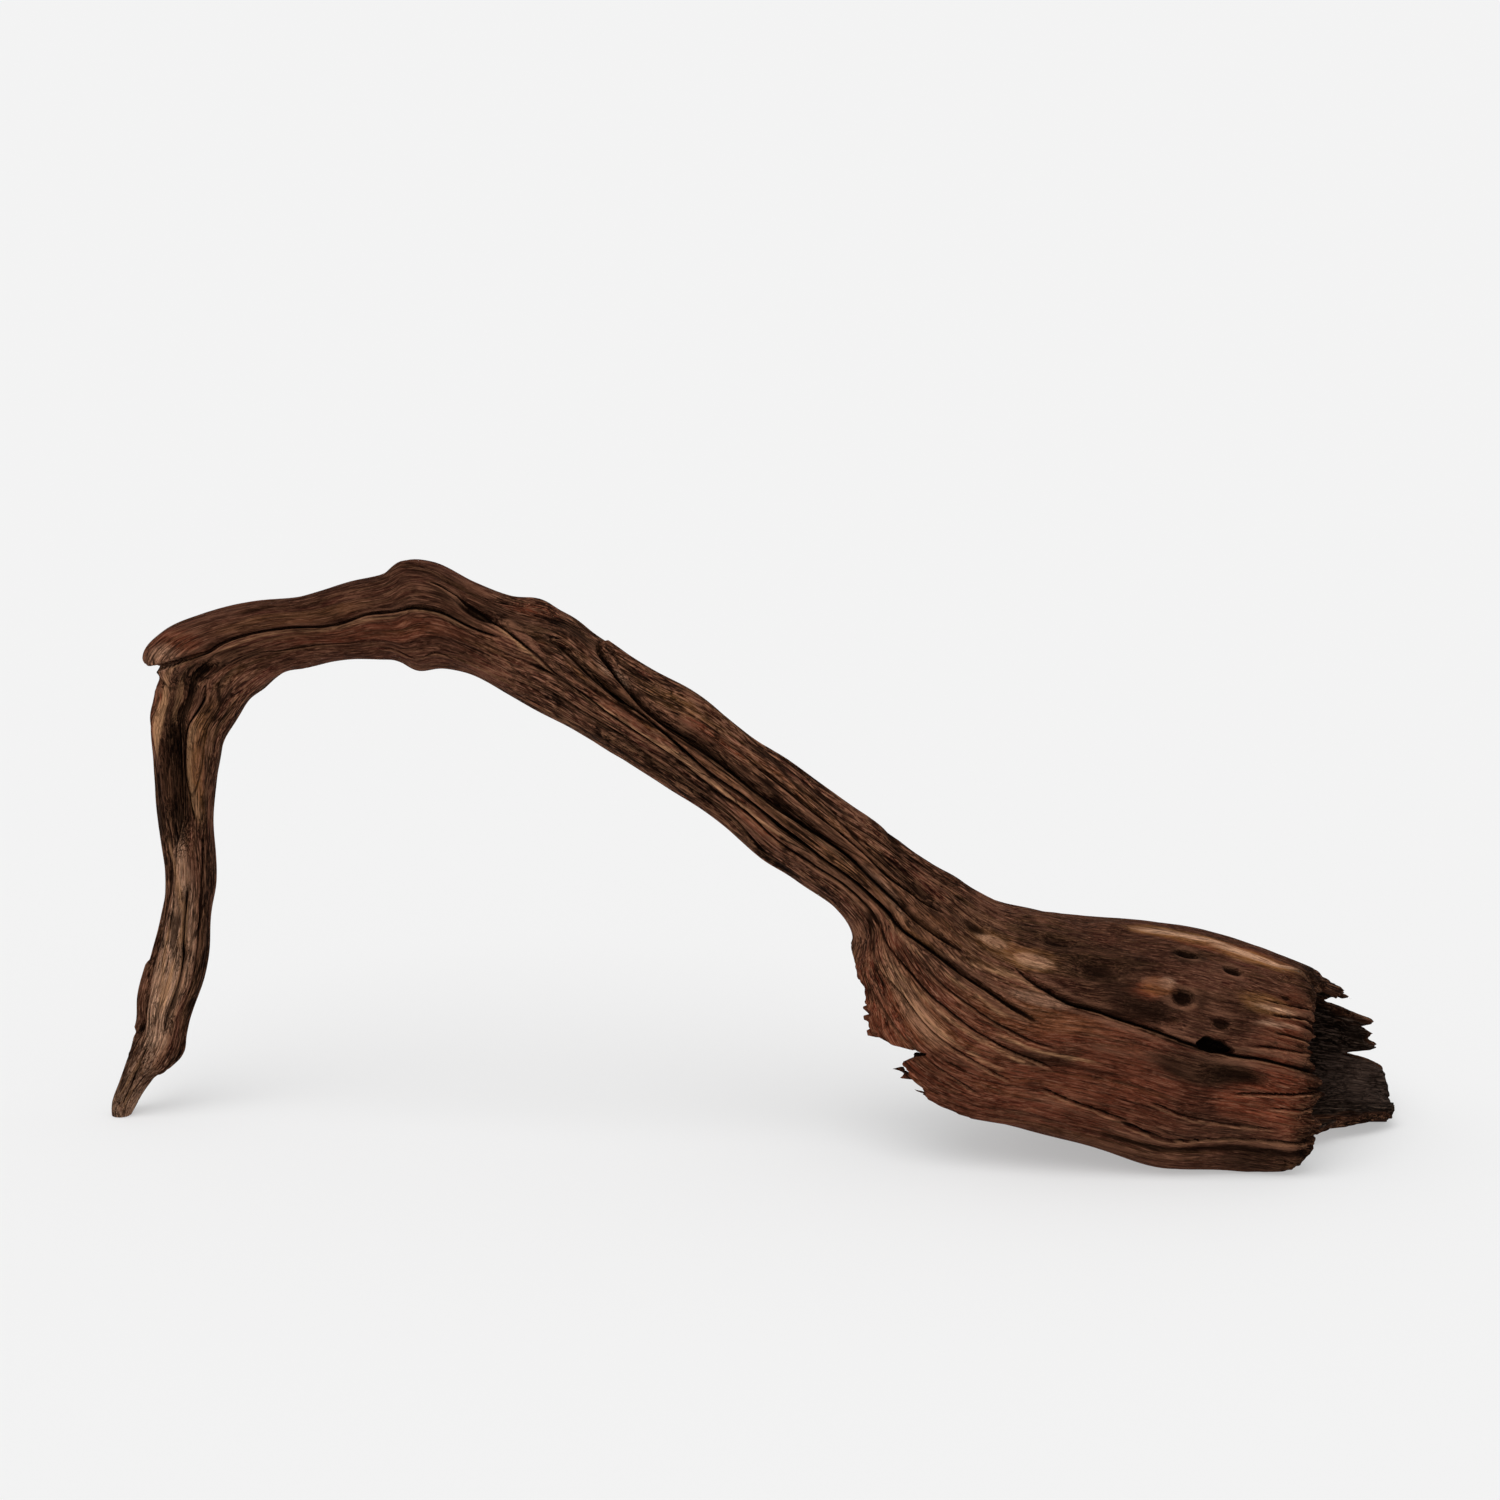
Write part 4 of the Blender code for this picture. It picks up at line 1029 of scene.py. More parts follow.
below = sample(skin, run_at, angle_at) - place
depth_below = (below * sample(outward, run_at, angle_at)).sum(axis=-1)
print(f"share of points on cut or hollow faces: {(depth_below > 1.5).mean():.2f}")

# %% [markdown]
# ## Painting by numbers
# The colours need to know more than the grain: where a crack or a hollow is, where
# a ridge stands out, which parts are pale, ochre, sooty or rusty, and where shade
# and highlights are painted. Each of these is one number per point, stored as an
# attribute that a shader can read. Ridges and valleys come from the relief itself,
# less its own blurred copy: a little blur finds the fine ones, and a strong blur the
# broad ones.

# %% Ridges and valleys
def blurred(grid, along, around):
    """A grid averaged over some rows and columns to each side."""
    out = sum(np.roll(grid, s, axis=1) for s in range(-around, around + 1)) / (2 * around + 1)
    padded = np.pad(out, ((along, along), (0, 0)), mode="edge")
    total = np.cumsum(np.pad(padded, ((1, 0), (0, 0))), axis=0)
    return (total[2 * along + 1:] - total[:-2 * along - 1]) / (2 * along + 1)


height = form + grain
fine_ridge = np.clip((height - blurred(height, 3, 5)) / 0.7, -1.5, 1.5)
broad_ridge = np.clip((height - blurred(height, 8, 22)) / 1.8, -1.5, 1.5)
print(f"fine ridges on {(fine_ridge > 0.5).mean():.2f} of the skin, "
      f"broad ones on {(broad_ridge > 0.5).mean():.2f}")

# %% [markdown]
# Old driftwood is stained unevenly. Sun and sand leave the tip of the leg and a few
# knobs pale, resin and algae leave ochre, and iron in the water leaves rust red. The
# dark list darkens the dents of the foot and a few broad stretches, and it is painted
# shade in the elbow's flute, in the knuckle's pocket, below the slab of the upper
# trunk and along the undersides. Along the top edge of the foot, pale, ochre and rust
# red spots make a painted highlight. Each stain is a list of soft spots and, where it
# follows a flute or an edge, of lines. A picture laid over the wood would be quicker,
# but it would have pixels and a seam, and it would fit only one side.

# %% Stained spots
# Run, angle, reach along, reach round in degrees, strength.
PALE = (
    (8, 90, 16, 200, 1.0), (26, 84, 16, 50, 0.8), (80, 80, 64, 46, 1.0), (118, 70, 50, 26, 1.0),
    (240, 42, 12, 30, 0.5), (449, 44, 10, 11, 1.0), (757, 44, 6, 4, 0.5), (652, 104, 34, 9, 0.25),
    (700, 64, 20, 4, 0.4), (660, 42, 10, 5, 0.5), (684, 45, 12, 5, 0.5), (605, 74, 20, 8, 0.4),
    # the last two spots: a painted highlight along the top edge of the foot
    (766, -2, 40, 6, 0.7), (812, 4, 36, 6, 0.75),
)
OCHRE = (
    (100, 74, 60, 24, 0.4), (195, 108, 36, 16, 0.8), (753, 47, 11, 6, 0.5), (610, 62, 50, 14, 0.3),
    (700, 74, 50, 9, 0.2), (450, 68, 30, 12, 0.8), (560, 48, 50, 14, 0.3), (300, 55, 40, 14, 0.2),
    (481, 39, 20, 12, 0.6), (655, 104, 34, 12, 0.35), (576, 88, 22, 8, 0.9), (660, 42, 16, 9, 0.9),
    # the last spot of this line and the next one: a painted highlight along the foot's top edge
    (683, 44, 16, 9, 0.8), (815, 42, 20, 8, 0.8), (520, 84, 40, 8, 0.5), (764, -2, 46, 12, 0.9),
    (812, 5, 40, 12, 0.95),
)
SOOT_AND_SHADE = (
    # painted shade: the first two spots, in the knuckle's pocket
    (373, 54, 20, 12, 0.9), (396, 44, 26, 16, 0.6), (738, 56, 44, 17, 0.85),
    (792, 83, 36, 11, 1.0), (717, 38, 40, 17, 0.8), (689, 28, 30, 18, 0.8), (650, 40, 24, 14, 0.8),
    (614, 50, 26, 13, 0.8), (722, 95, 18, 7, 0.8), (771, 49, 18, 7, 0.8), (793, 25, 8, 5, 1.0),
    # painted shade: the last spot of this line and the next two, in the elbow's flute
    (767, 21, 14, 8, 1.0), (838, 128, 34, 16, 0.8), (226, 108, 18, 12, 0.5),
    (166, 38, 24, 44, 0.95), (228, 80, 16, 20, 0.9), (30, 118, 12, 30, 0.4),
    # painted shade: the first two spots, on the shaded inner side of the elbow and the leg
    (215, 170, 40, 30, 0.4), (100, 150, 60, 36, 0.5), (854, 38, 22, 16, 0.8),
    (424, 24, 22, 18, 0.9), (850, 100, 12, 14, 0.6), (772, 62, 40, 16, 0.3), (850, 72, 7, 60, 0.6),
    (68, 38, 18, 12, 0.7), (318, 60, 60, 70, 0.18), (364, 60, 24, 70, 0.32),
    (798, 58, 34, 26, 0.34),
)
RUST = (
    (850, 70, 44, 60, 0.7), (748, 50, 12, 6, 0.9), (720, 96, 90, 44, 0.45),
    (655, 132, 40, 36, 0.9), (700, 120, 40, 30, 0.4), (754, 46, 11, 6, 0.8),
    # (790, 2): a painted highlight along the top edge of the foot
    (470, 82, 40, 16, 0.6), (640, 100, 60, 20, 0.4), (790, 2, 60, 12, 0.9), (330, 92, 60, 18, 0.4),
    (210, 33, 24, 12, 0.9), (121, 60, 30, 20, 0.5), (245, 40, 20, 40, 0.6), (826, 95, 34, 16, 0.8),
    (404, 18, 20, 14, 0.6), (533, 104, 26, 14, 0.8), (504, 55, 24, 12, 0.7), (26, 76, 12, 20, 0.7),
)
# The grey tongue inside the toe, and knobs that stay free of soot and painted shade.
ASHEN = ((884, 238, 30, 36, 1.0),)
BARE = ((753, 47, 13, 8, 0.9), (683, 44, 12, 6, 0.8), (660, 42, 12, 6, 0.8))

# %% Stained lines
# Half width in mm, strength, path of (run, angle).
SOOT_AND_SHADE_LINES = (
    # painted shade: this first line runs down the elbow's flute
    (9.0, 1.0, ((143, 50), (149, 62), (154, 68), (167, 72), (181, 70), (195, 70), (205, 67),
                (217, 65),
                (228, 70), (238, 78), (248, 85), (258, 90), (274, 95))),
    (4.0, 0.9, ((405, 50), (437, 65), (457, 69), (480, 71))),
    # painted shadow below the slab of the upper trunk
    (4.0, 0.8, ((432, 22), (447, 42), (462, 56), (480, 66), (530, 64), (580, 64))),
    (2.0, 0.6, ((480, 98), (520, 102), (580, 104), (625, 100))),
    # painted shade along the underside of the trunk
    (5.0, 0.9, ((415, 142), (446, 140), (468, 134), (489, 140), (511, 138), (535, 145),
                (570, 152))),
    (2.2, 0.9, ((14, 46), (25, 47), (34, 48), (44, 52))),
    (1.0, 0.9, ((15, 90), (27, 73), (35, 60))),
    (1.4, 0.8, ((83, 108), (95, 99), (109, 92), (128, 88), (140, 92))),
)
OCHRE_LINES = (
    (4.0, 1.0, ((156, 132), (163, 124), (173, 114), (182, 107), (195, 104), (206, 103),
                (218, 101))),
    (2.6, 0.7, ((500, 84), (560, 85), (600, 85), (625, 76), (650, 68))),
    (2.6, 0.6, ((460, 78), (500, 83), (540, 84), (600, 86))),
    (2.2, 0.9, ((70, 84), (91, 84), (104, 84), (128, 83), (136, 74), (144, 56))),
)
PALE_LINES = (
    (1.6, 0.7, ((806, 44), (820, 44), (836, 42))),
    (1.4, 0.6, ((808, 54), (822, 52), (838, 50))),
)
# Thin raised edges that catch the light.
LIPS = (
    (2.0, 1.0, ((156, 132), (163, 120), (173, 109), (182, 100), (195, 97), (206, 98), (215, 96))),
    (1.8, 1.0, ((186, 43), (198, 44), (207, 43), (216, 41), (225, 45), (231, 52), (240, 61),
                (254, 73))),
    (1.6, 1.0, ((91, 82), (104, 82), (117, 76), (128, 66), (136, 56), (142, 46), (150, 36))),
    (1.3, 0.9, ((58, 88), (66, 86), (78, 82), (93, 79))),
    (1.1, 0.9, ((60, 103), (74, 100), (90, 96), (105, 90), (121, 88))),
    (1.0, 0.8, ((60, 84), (74, 74), (89, 61), (110, 54))),
    (0.8, 0.4, ((252, 80), (280, 76), (310, 79), (340, 74), (380, 80))),
    (0.9, 0.7, ((690, 86), (720, 92), (745, 93))),
    (0.8, 0.9, ((471, 96), (492, 98), (514, 102), (533, 102), (560, 98))),
    (0.8, 0.9, ((430, 92), (452, 91), (470, 94), (500, 93))),
    (0.8, 0.8, ((498, 76), (524, 77), (549, 78), (573, 77), (592, 84))),
    (0.8, 0.8, ((640, 72), (662, 61), (680, 56), (700, 62))),
    (0.8, 0.8, ((386, 60), (397, 67), (407, 79), (420, 91))),
    (0.7, 0.8, ((624, 108), (650, 96), (690, 94), (720, 101))),
    (0.7, 0.8, ((620, 118), (650, 104), (680, 101), (712, 107))),
    (0.7, 0.7, ((606, 96), (634, 82), (664, 74), (700, 78))),
    (0.8, 0.9, ((12, 60), (20, 62), (30, 66), (40, 70))),
    (0.8, 0.9, ((6, 76), (14, 80), (22, 84))),
    (0.8, 0.9, ((4, 100), (12, 96), (24, 100))),
)


# %% Painting the points
LINE_FADE = 10


def painted(spots, lines=()):
    """The strongest of some soft spots and lines at each point of the mesh."""
    total = np.zeros(len(place))
    for run, angle, along, around, strength in spots:
        here = spot(run, angle, along, around, run_at, angle_at)
        total = np.maximum(total, strength * ease(here, 0, 0.8))
    for half_width, strength, path in lines:
        band = fading(path, LINE_FADE, LINE_FADE)
        band = band * ease(1 - np.abs(off_path(path)) / half_width, 0, 0.5)
        total = np.maximum(total, strength * sample(band, run_at, angle_at))
    return total


def attribute(name, values):
    """Stores one number or one vector for each point of the wood."""
    kind = "FLOAT_VECTOR" if np.ndim(values) == 2 else "FLOAT"
    stored = wood.data.attributes.new(name, kind, "POINT")
    field = "vector" if kind == "FLOAT_VECTOR" else "value"
    stored.data.foreach_set(field, np.asarray(values, np.float32).ravel())


USUAL_THICKNESS = 20

attribute("grain", np.stack([run_at / 10, offset_a * 2, offset_b * 2], axis=-1))
attribute("swell", thickness / USUAL_THICKNESS)
attribute("lively", np.interp(run_at, *np.transpose(LIVELY)))
attribute("ridge", sample(fine_ridge, run_at, angle_at))
attribute("broad", sample(broad_ridge, run_at, angle_at))
attribute("inside", ease(depth_below, 1.5, 3.5) * ease(run_at, 560, 640))
attribute("rot_and_shade", ease(depth_below, 3.5, 6.5) * ease(run_at, 600, 680))
attribute("pale", painted(PALE, PALE_LINES))
attribute("ochre", painted(OCHRE, OCHRE_LINES))
attribute("rust", painted(RUST))
attribute("lip", painted((), LIPS))
attribute("ashen", painted(ASHEN))
print(f"painted {len(PALE) + len(OCHRE) + len(RUST) + len(SOOT_AND_SHADE)} spots, "
      f"{len(PALE_LINES) + len(OCHRE_LINES) + len(SOOT_AND_SHADE_LINES) + len(LIPS)} lines")

# %% [markdown]
# Two more dark marks follow the shape itself. The ring below the ledge at the tip is
# painted shade, under the torn layer. And the wood is nearly black where
# it is torn open at the toe: the dark zone follows the tear at a few millimetres,
# and the threads of the grain make its edge ragged.

# %% Soot and painted shade, splits and cracks
below_ledge = run_at - np.interp(angle_at, angles, ledge[0], period=360)
# painted shade in a ring below the ledge at the tip
ring = 0.9 * np.exp(-(((below_ledge + 2) / 3) ** 2))
soot_and_shade_here = painted(SOOT_AND_SHADE, SOOT_AND_SHADE_LINES) * (1 - painted(BARE))
left_to_tear = sample(to_tear, run_at, angle_at) + 3 * sample(threads, run_at, angle_at)
charred = 0.95 * (1 - ease(left_to_tear, 3, 14)) * ease(run_at, 780, 800)
attribute("soot_and_shade", np.maximum.reduce([soot_and_shade_here, ring, charred]))
open_splits = patchy * (1 - worn) * (0.15 + 0.85 * lively)
splits = [sample(grid, run_at, angle_at) for grid in (split, rope, open_splits)]
attribute("splits", np.stack(splits, axis=-1))
for number, sheet in enumerate(crack_sheets):
    off, strength = (sample(grid, run_at, angle_at) for grid in sheet)
    attribute(f"crack_{number}", np.stack([off, strength, strength], axis=-1))
print("attributes:", [a.name for a in wood.data.attributes if not a.name.startswith(".")])

# %% [markdown]
# ## The finish of the wood
# Old, stained wood is dull and dark: a red-brown ground with long streaks of tan,
# olive and near black. The streaks come from noise in the branch's own coordinates,
# squeezed across the grain. Three sizes of streak are mixed, since one size alone
# looks like printed wood. All of it is built from nodes, so that it has no seam and
# no pixels. A few helpers make the nodes as short to write as a sum.

# %% Helpers for nodes
finish = bpy.data.materials.new("weathered_driftwood")
finish.use_nodes = True
tree_nodes = finish.node_tree.nodes
links = finish.node_tree.links
shader = tree_nodes["Principled BSDF"]


def srgb(*value):
    """A colour given in the 0 to 255 numbers of a picture, as the shader wants it."""
    value = np.array(value) / 255
    linear = np.where(value <= 0.04045, value / 12.92, ((value + 0.055) / 1.055) ** 2.4)
    return (*linear, 1.0)


def feed(socket, value):
    """Links a socket, or sets it to a plain value."""
    if isinstance(value, bpy.types.NodeSocket):
        links.new(value, socket)
    else:
        socket.default_value = value


def read(name, field="Fac"):
    """What is stored at each point under a name."""
    node = tree_nodes.new("ShaderNodeAttribute")
    node.attribute_name = name
    return node.outputs[field]


def parts_of(name):
    """The three numbers of a stored vector."""
    node = tree_nodes.new("ShaderNodeSeparateXYZ")
    links.new(read(name, "Vector"), node.inputs[0])
    return node.outputs


def maths(operation, *values, clamp=False):
    """One step of arithmetic."""
    node = tree_nodes.new("ShaderNodeMath")
    node.operation = operation
    node.use_clamp = clamp
    for socket, value in zip(node.inputs, values):
        feed(socket, value)
    return node.outputs[0]


def times(*values):
    """All of the values multiplied together."""
    product = values[0]
    for value in values[1:]:
        product = maths("MULTIPLY", product, value)
    return product


def ranged(value, low, high, to_low=0.0, to_high=1.0):
    """A value brought from one range to another, with a smooth step."""
    node = tree_nodes.new("ShaderNodeMapRange")
    node.interpolation_type = "SMOOTHSTEP"
    for socket, number in zip(node.inputs, (value, low, high, to_low, to_high)):
        feed(socket, number)
    return node.outputs[0]


def mixed(share, first, second, blend="MIX"):
    """Two colours mixed: the first where the share is 0, the second where it is 1."""
    node = tree_nodes.new("ShaderNodeMix")
    node.data_type = "RGBA"
    node.blend_type = blend
    feed(node.inputs["Factor"], share)
    feed(node.inputs[6], first)
    feed(node.inputs[7], second)
    return node.outputs[2]


# %% [markdown]
# Three kinds of pattern are laid in the branch's own coordinates. Stretched noise
# makes streaks. Cells with wavy edges make flakes, because dry bark and old wood
# break up into small plates with dark gaps. A ramp turns a value into colours.

# %% Patterns along the grain
def grain_space(along, across_grain, shift):
    """The branch's own coordinates, in units of so many cm along and across."""
    scaled = tree_nodes.new("ShaderNodeMapping")
    feed(scaled.inputs["Vector"], read("grain", "Vector"))
    scaled.inputs["Scale"].default_value = (1 / along, 1 / across_grain, 1 / across_grain)
    scaled.inputs["Location"].default_value = (shift, shift * 1.7, -shift)
    return scaled


def stretched(along, across_grain, detail=3.0, shift=0.0):
    """Noise whose cells are so many cm long and so many cm wide."""
    scaled = grain_space(along, across_grain, shift)
    noise = tree_nodes.new("ShaderNodeTexNoise")
    noise.inputs["Scale"].default_value = 1.0
    noise.inputs["Detail"].default_value = detail
    noise.inputs["Roughness"].default_value = 0.6
    noise.inputs["Distortion"].default_value = 0.25
    links.new(scaled.outputs[0], noise.inputs["Vector"])
    return noise.outputs["Fac"]


def flaked(along, across_grain, bend=2.0, shift=0.0):
    """How far each point is from the edge of its flake, with wavy edges."""
    scaled = grain_space(along, across_grain, shift)
    waves = tree_nodes.new("ShaderNodeTexNoise")
    waves.inputs["Scale"].default_value = bend
    links.new(scaled.outputs[0], waves.inputs["Vector"])
    moved = tree_nodes.new("ShaderNodeMix")
    moved.data_type = "VECTOR"
    moved.inputs["Factor"].default_value = 0.55
    links.new(scaled.outputs[0], moved.inputs[4])
    links.new(waves.outputs["Color"], moved.inputs[5])
    cells = tree_nodes.new("ShaderNodeTexVoronoi")
    cells.feature = "DISTANCE_TO_EDGE"
    cells.inputs["Scale"].default_value = 1 / 0.45
    links.new(moved.outputs[1], cells.inputs["Vector"])
    return cells.outputs["Distance"]


def ramp(value, stops):
    """Colours along a value: a list of (position, colour)."""
    node = tree_nodes.new("ShaderNodeValToRGB")
    node.color_ramp.elements.remove(node.color_ramp.elements[0])
    node.color_ramp.elements[0].position = stops[0][0]
    node.color_ramp.elements[0].color = stops[0][1]
    for position, colour in stops[1:]:
        node.color_ramp.elements.new(position).color = colour
    feed(node.inputs["Fac"], value)
    return node.outputs["Color"]


# %% [markdown]
# The foot is thicker than the trunk, so its streaks would come out wider. There a
# finer noise takes over, by the attribute that says how swollen the branch is.

# %% Streaks that keep their width
swollen = ranged(read("swell"), 1.1, 2.2)


def even_streaks(along, wide, detail=3.0, shift=0.0, kind=stretched):
    """Streaks that keep their width from the thin leg to the thick foot."""
    narrow = kind(along, wide, detail, shift)
    finer = kind(along, wide / 2.6, detail, shift + 3.1)
    node = tree_nodes.new("ShaderNodeMix")
    links.new(swollen, node.inputs[0])
    links.new(narrow, node.inputs[2])
    links.new(finer, node.inputs[3])
    return node.outputs[0]


streaks = even_streaks(2.6, 0.17, 5.0)
hairs = even_streaks(0.9, 0.055, 2.0, 5.3)
crumbs = even_streaks(0.34, 0.13, 2.0, 21.4)
flakes = even_streaks(0.85, 0.15, 1.6, 27.5, flaked)
patches = stretched(5.0, 0.9, 3.0, 9.7)
bands = even_streaks(7.0, 0.45, 2.0, 2.2)
cloud = stretched(2.2, 1.6, 2.0, 14.2)
print(f"{len(tree_nodes)} nodes for seven patterns")

# %% [markdown]
# The ground colour runs through a ramp from near black over red-brown to tan. Broad
# patches of red, long bands of olive and soft clouds of dark and light lie over it.
# Where the wood is worn calm, the pattern is weakened by an even, darker brown.

# %% The ground colour
ground = ramp(streaks, (
    (0.32, srgb(20, 8, 4)),
    (0.42, srgb(49, 25, 14)),
    (0.50, srgb(78, 46, 32)),
    (0.60, srgb(108, 70, 52)),
    (0.72, srgb(158, 114, 88)),
))
ground = mixed(ranged(patches, 0.48, 0.66, 0.0, 0.65), ground, srgb(94, 44, 34))
ground = mixed(ranged(bands, 0.53, 0.64, 0.0, 0.36), ground, srgb(88, 70, 36))
ground = mixed(ranged(cloud, 0.52, 0.72, 0.0, 0.36), ground, srgb(44, 27, 18))
ground = mixed(ranged(cloud, 0.46, 0.30, 0.0, 0.28), ground, srgb(104, 70, 58))

calm_share = ranged(read("lively"), 0.2, 0.6, 0.55, 0.0)
ground = mixed(calm_share, ground, srgb(55, 30, 22))

# %% [markdown]
# Tints follow the painted numbers. Each is broken up by streaks, so that no soft
# spot shows its round edge. Pale, ochre and rust red together also make a painted
# highlight along the top edge of the foot, and the soot number holds painted shade.

# %% Pale, ochre, rusty and sooty places, with a painted highlight and painted shade
broken = ranged(streaks, 0.36, 0.54, 0.3, 1.0)


def tinted(colour, name, tint, most):
    """A colour with a painted stain over it."""
    share = maths("MULTIPLY", times(read(name), broken), most, clamp=True)
    return mixed(share, colour, tint)


# rust, ochre and pale also carry the painted highlight along the top edge of the foot
colour = tinted(ground, "rust", srgb(136, 68, 44), 0.8)
colour = tinted(colour, "ochre", srgb(160, 114, 64), 0.8)
colour = tinted(colour, "pale", srgb(246, 202, 164), 0.95)
# the dark stains and the painted shade, unevenly dark
uneven_soot_and_shade = ranged(patches, 0.36, 0.68, 1.0, 0.7)
soot_and_shade = times(read("soot_and_shade"), uneven_soot_and_shade)
colour = mixed(times(soot_and_shade, 0.94), colour, srgb(26, 17, 10))

# %% [markdown]
# Hairs are the finest fibres, dark between and light on top. Crumbs are short dark
# and light marks, and flakes are small plates with dark gaps. The last two belong to
# rough wood, so the lively number weakens them where it is worn, and the light ones
# are kept off the soot and the painted shade. The tip of the leg has larger, paler
# flakes of its own.

# %% Hairs, crumbs and flakes
NEAR_BLACK = srgb(22, 9, 5)
crumbly = ranged(read("lively"), 0.25, 0.9, 0.3, 1.0)
clean = maths("SUBTRACT", 1.0, times(soot_and_shade, 0.8))
colour = mixed(ranged(hairs, 0.50, 0.30, 0.0, 0.75), colour, NEAR_BLACK)
light_hairs = times(ranged(hairs, 0.58, 0.74, 0.0, 0.5), clean)
colour = mixed(light_hairs, colour, srgb(160, 117, 90))
dark_crumbs = times(ranged(crumbs, 0.46, 0.32, 0.0, 0.42), crumbly)
colour = mixed(dark_crumbs, colour, NEAR_BLACK)
flake_edges = times(ranged(flakes, 0.09, 0.02), ranged(cloud, 0.38, 0.56, 0.15, 0.8), crumbly)
colour = mixed(flake_edges, colour, srgb(20, 8, 4))

# %% The flaky tip of the leg
tip_flakes = flaked(0.55, 0.34, 1.6, 3.3)
along_branch = parts_of("grain")[0]
at_tip = ranged(along_branch, 5.2, 3.8)
tip_edges = times(ranged(tip_flakes, 0.11, 0.03, 0.0, 0.85), at_tip)
tip_tops = times(ranged(tip_flakes, 0.15, 0.3, 0.0, 0.55), at_tip)
colour = mixed(tip_edges, colour, srgb(34, 14, 8))
colour = mixed(times(tip_tops, ranged(crumbs, 0.4, 0.6)), colour, srgb(206, 166, 136))

# %% Light tops of the flakes and crumbs
flake_tops = times(ranged(flakes, 0.11, 0.27, 0.0, 0.5), ranged(hairs, 0.38, 0.6, 0.1, 1.0))
flake_tops = times(flake_tops, crumbly, clean)
colour = mixed(flake_tops, colour, srgb(172, 126, 100))
light_crumbs = times(ranged(crumbs, 0.56, 0.70, 0.0, 0.55), crumbly, clean)
colour = mixed(light_crumbs, colour, srgb(162, 117, 90))

# %% [markdown]
# The drying cracks are dark lines. Their places are stored as signed distances,
# which change evenly over a face, so the line stays thin and sharp however large
# the faces are. One side of a crack often stands up and catches the light.

# %% Crisp crack lines
CRACK_LINE, LIT_LINE, LIT_SHIFT = 0.65, 0.6, 1.25


def thin_line(distance, half_width):
    """1 where a distance is near zero, 0 past the half width."""
    return ranged(maths("ABSOLUTE", distance), half_width * 0.35, half_width, 1.0, 0.0)


def strongest(*values):
    """The largest of the values."""
    largest = values[0]
    for value in values[1:]:
        largest = maths("MAXIMUM", largest, value)
    return largest


tremble = times(maths("SUBTRACT", even_streaks(0.7, 0.3, 2.0, 8.8), 0.5), 1.6)
dark = lit = 0.0
for number in range(len(crack_sheets)):
    off, strength, _ = parts_of(f"crack_{number}")
    off = maths("ADD", off, tremble)
    dark = strongest(dark, times(thin_line(off, CRACK_LINE), strength))
    beside = maths("SUBTRACT", off, LIT_SHIFT)
    lit = strongest(lit, times(thin_line(beside, LIT_LINE), strength))

# %% [markdown]
# The many small splits lie where the strand noises of the relief pass zero, so they
# sit in their own valleys. Between them run hairlines, dark and light. A hairline is
# the place where a stretched noise passes its middle value: a thin, long line that
# wanders with the grain and never shows a repeat.

# %% Splits and hairlines
split_off, rope_off, patches_of_splits = parts_of("splits")
tremble_small = times(tremble, 0.05)
split_line = thin_line(maths("ADD", split_off, tremble_small), 0.075)
dark = strongest(dark, times(split_line, patches_of_splits, 0.9))
rope_line = thin_line(maths("ADD", rope_off, tremble_small), 0.05)
dark = strongest(dark, times(rope_line, ranged(bands, 0.4, 0.55), read("lively"), 0.8))

# Length and width of the noise in cm, its shift, and the strength of the lines.
DARK_HAIRLINES = ((9.0, 0.42, 12.3, 0.95), (6.0, 0.30, 7.7, 0.9), (3.6, 0.18, 16.1, 0.7))
LIGHT_HAIRLINES = ((7.0, 0.36, 31.2, 0.9), (4.0, 0.24, 4.4, 0.9), (2.6, 0.15, 18.9, 0.7))


def hairline(long, wide, shift):
    """A thin line wherever a long noise passes its middle value."""
    return thin_line(maths("SUBTRACT", even_streaks(long, wide, 1.5, shift), 0.5), 0.024)


for long, wide, shift, most in DARK_HAIRLINES:
    shown = ranged(cloud, 0.38, 0.55, 0.35, most)
    dark = strongest(dark, times(hairline(long, wide, shift), shown, crumbly))
for long, wide, shift, most in LIGHT_HAIRLINES:
    shown = ranged(patches, 0.38, 0.6, 0.25, most)
    lit = strongest(lit, times(hairline(long, wide, shift), shown, crumbly))
print(f"{len(DARK_HAIRLINES) + len(LIGHT_HAIRLINES)} sizes of hairline")

# %% [markdown]
# Dirt and painted shade darken the cracks and valleys, and handling and water rub
# the ridges pale. The ridge numbers do both. One side of each crack, and the raised
# lips of the flutes, get a painted highlight, the lips lighter still.

# %% Rubbed ridges, painted highlights and shade, and dark cracks
ridge = read("ridge")
broad = read("broad")
# painted highlight beside the cracks, with the light hairlines
colour = mixed(times(lit, 0.55), colour, srgb(172, 128, 94))
# painted highlight on the raised lips of the flutes
lips = times(read("lip"), ranged(hairs, 0.36, 0.54, 0.35, 0.9))
colour = mixed(lips, colour, srgb(206, 160, 116))
colour = mixed(ranged(ridge, 0.2, 1.2, 0.0, 0.4), colour, srgb(144, 104, 80))
colour = mixed(ranged(broad, 0.2, 1.2, 0.0, 0.2), colour, srgb(120, 80, 58))
# painted shade and dirt in the fine and the broad valleys
colour = mixed(ranged(ridge, -0.2, -1.2, 0.0, 0.8), colour, srgb(18, 8, 4))
colour = mixed(ranged(broad, -0.3, -1.4, 0.0, 0.4), colour, srgb(26, 14, 8))
colour = mixed(times(dark, 0.93), colour, srgb(12, 5, 3))

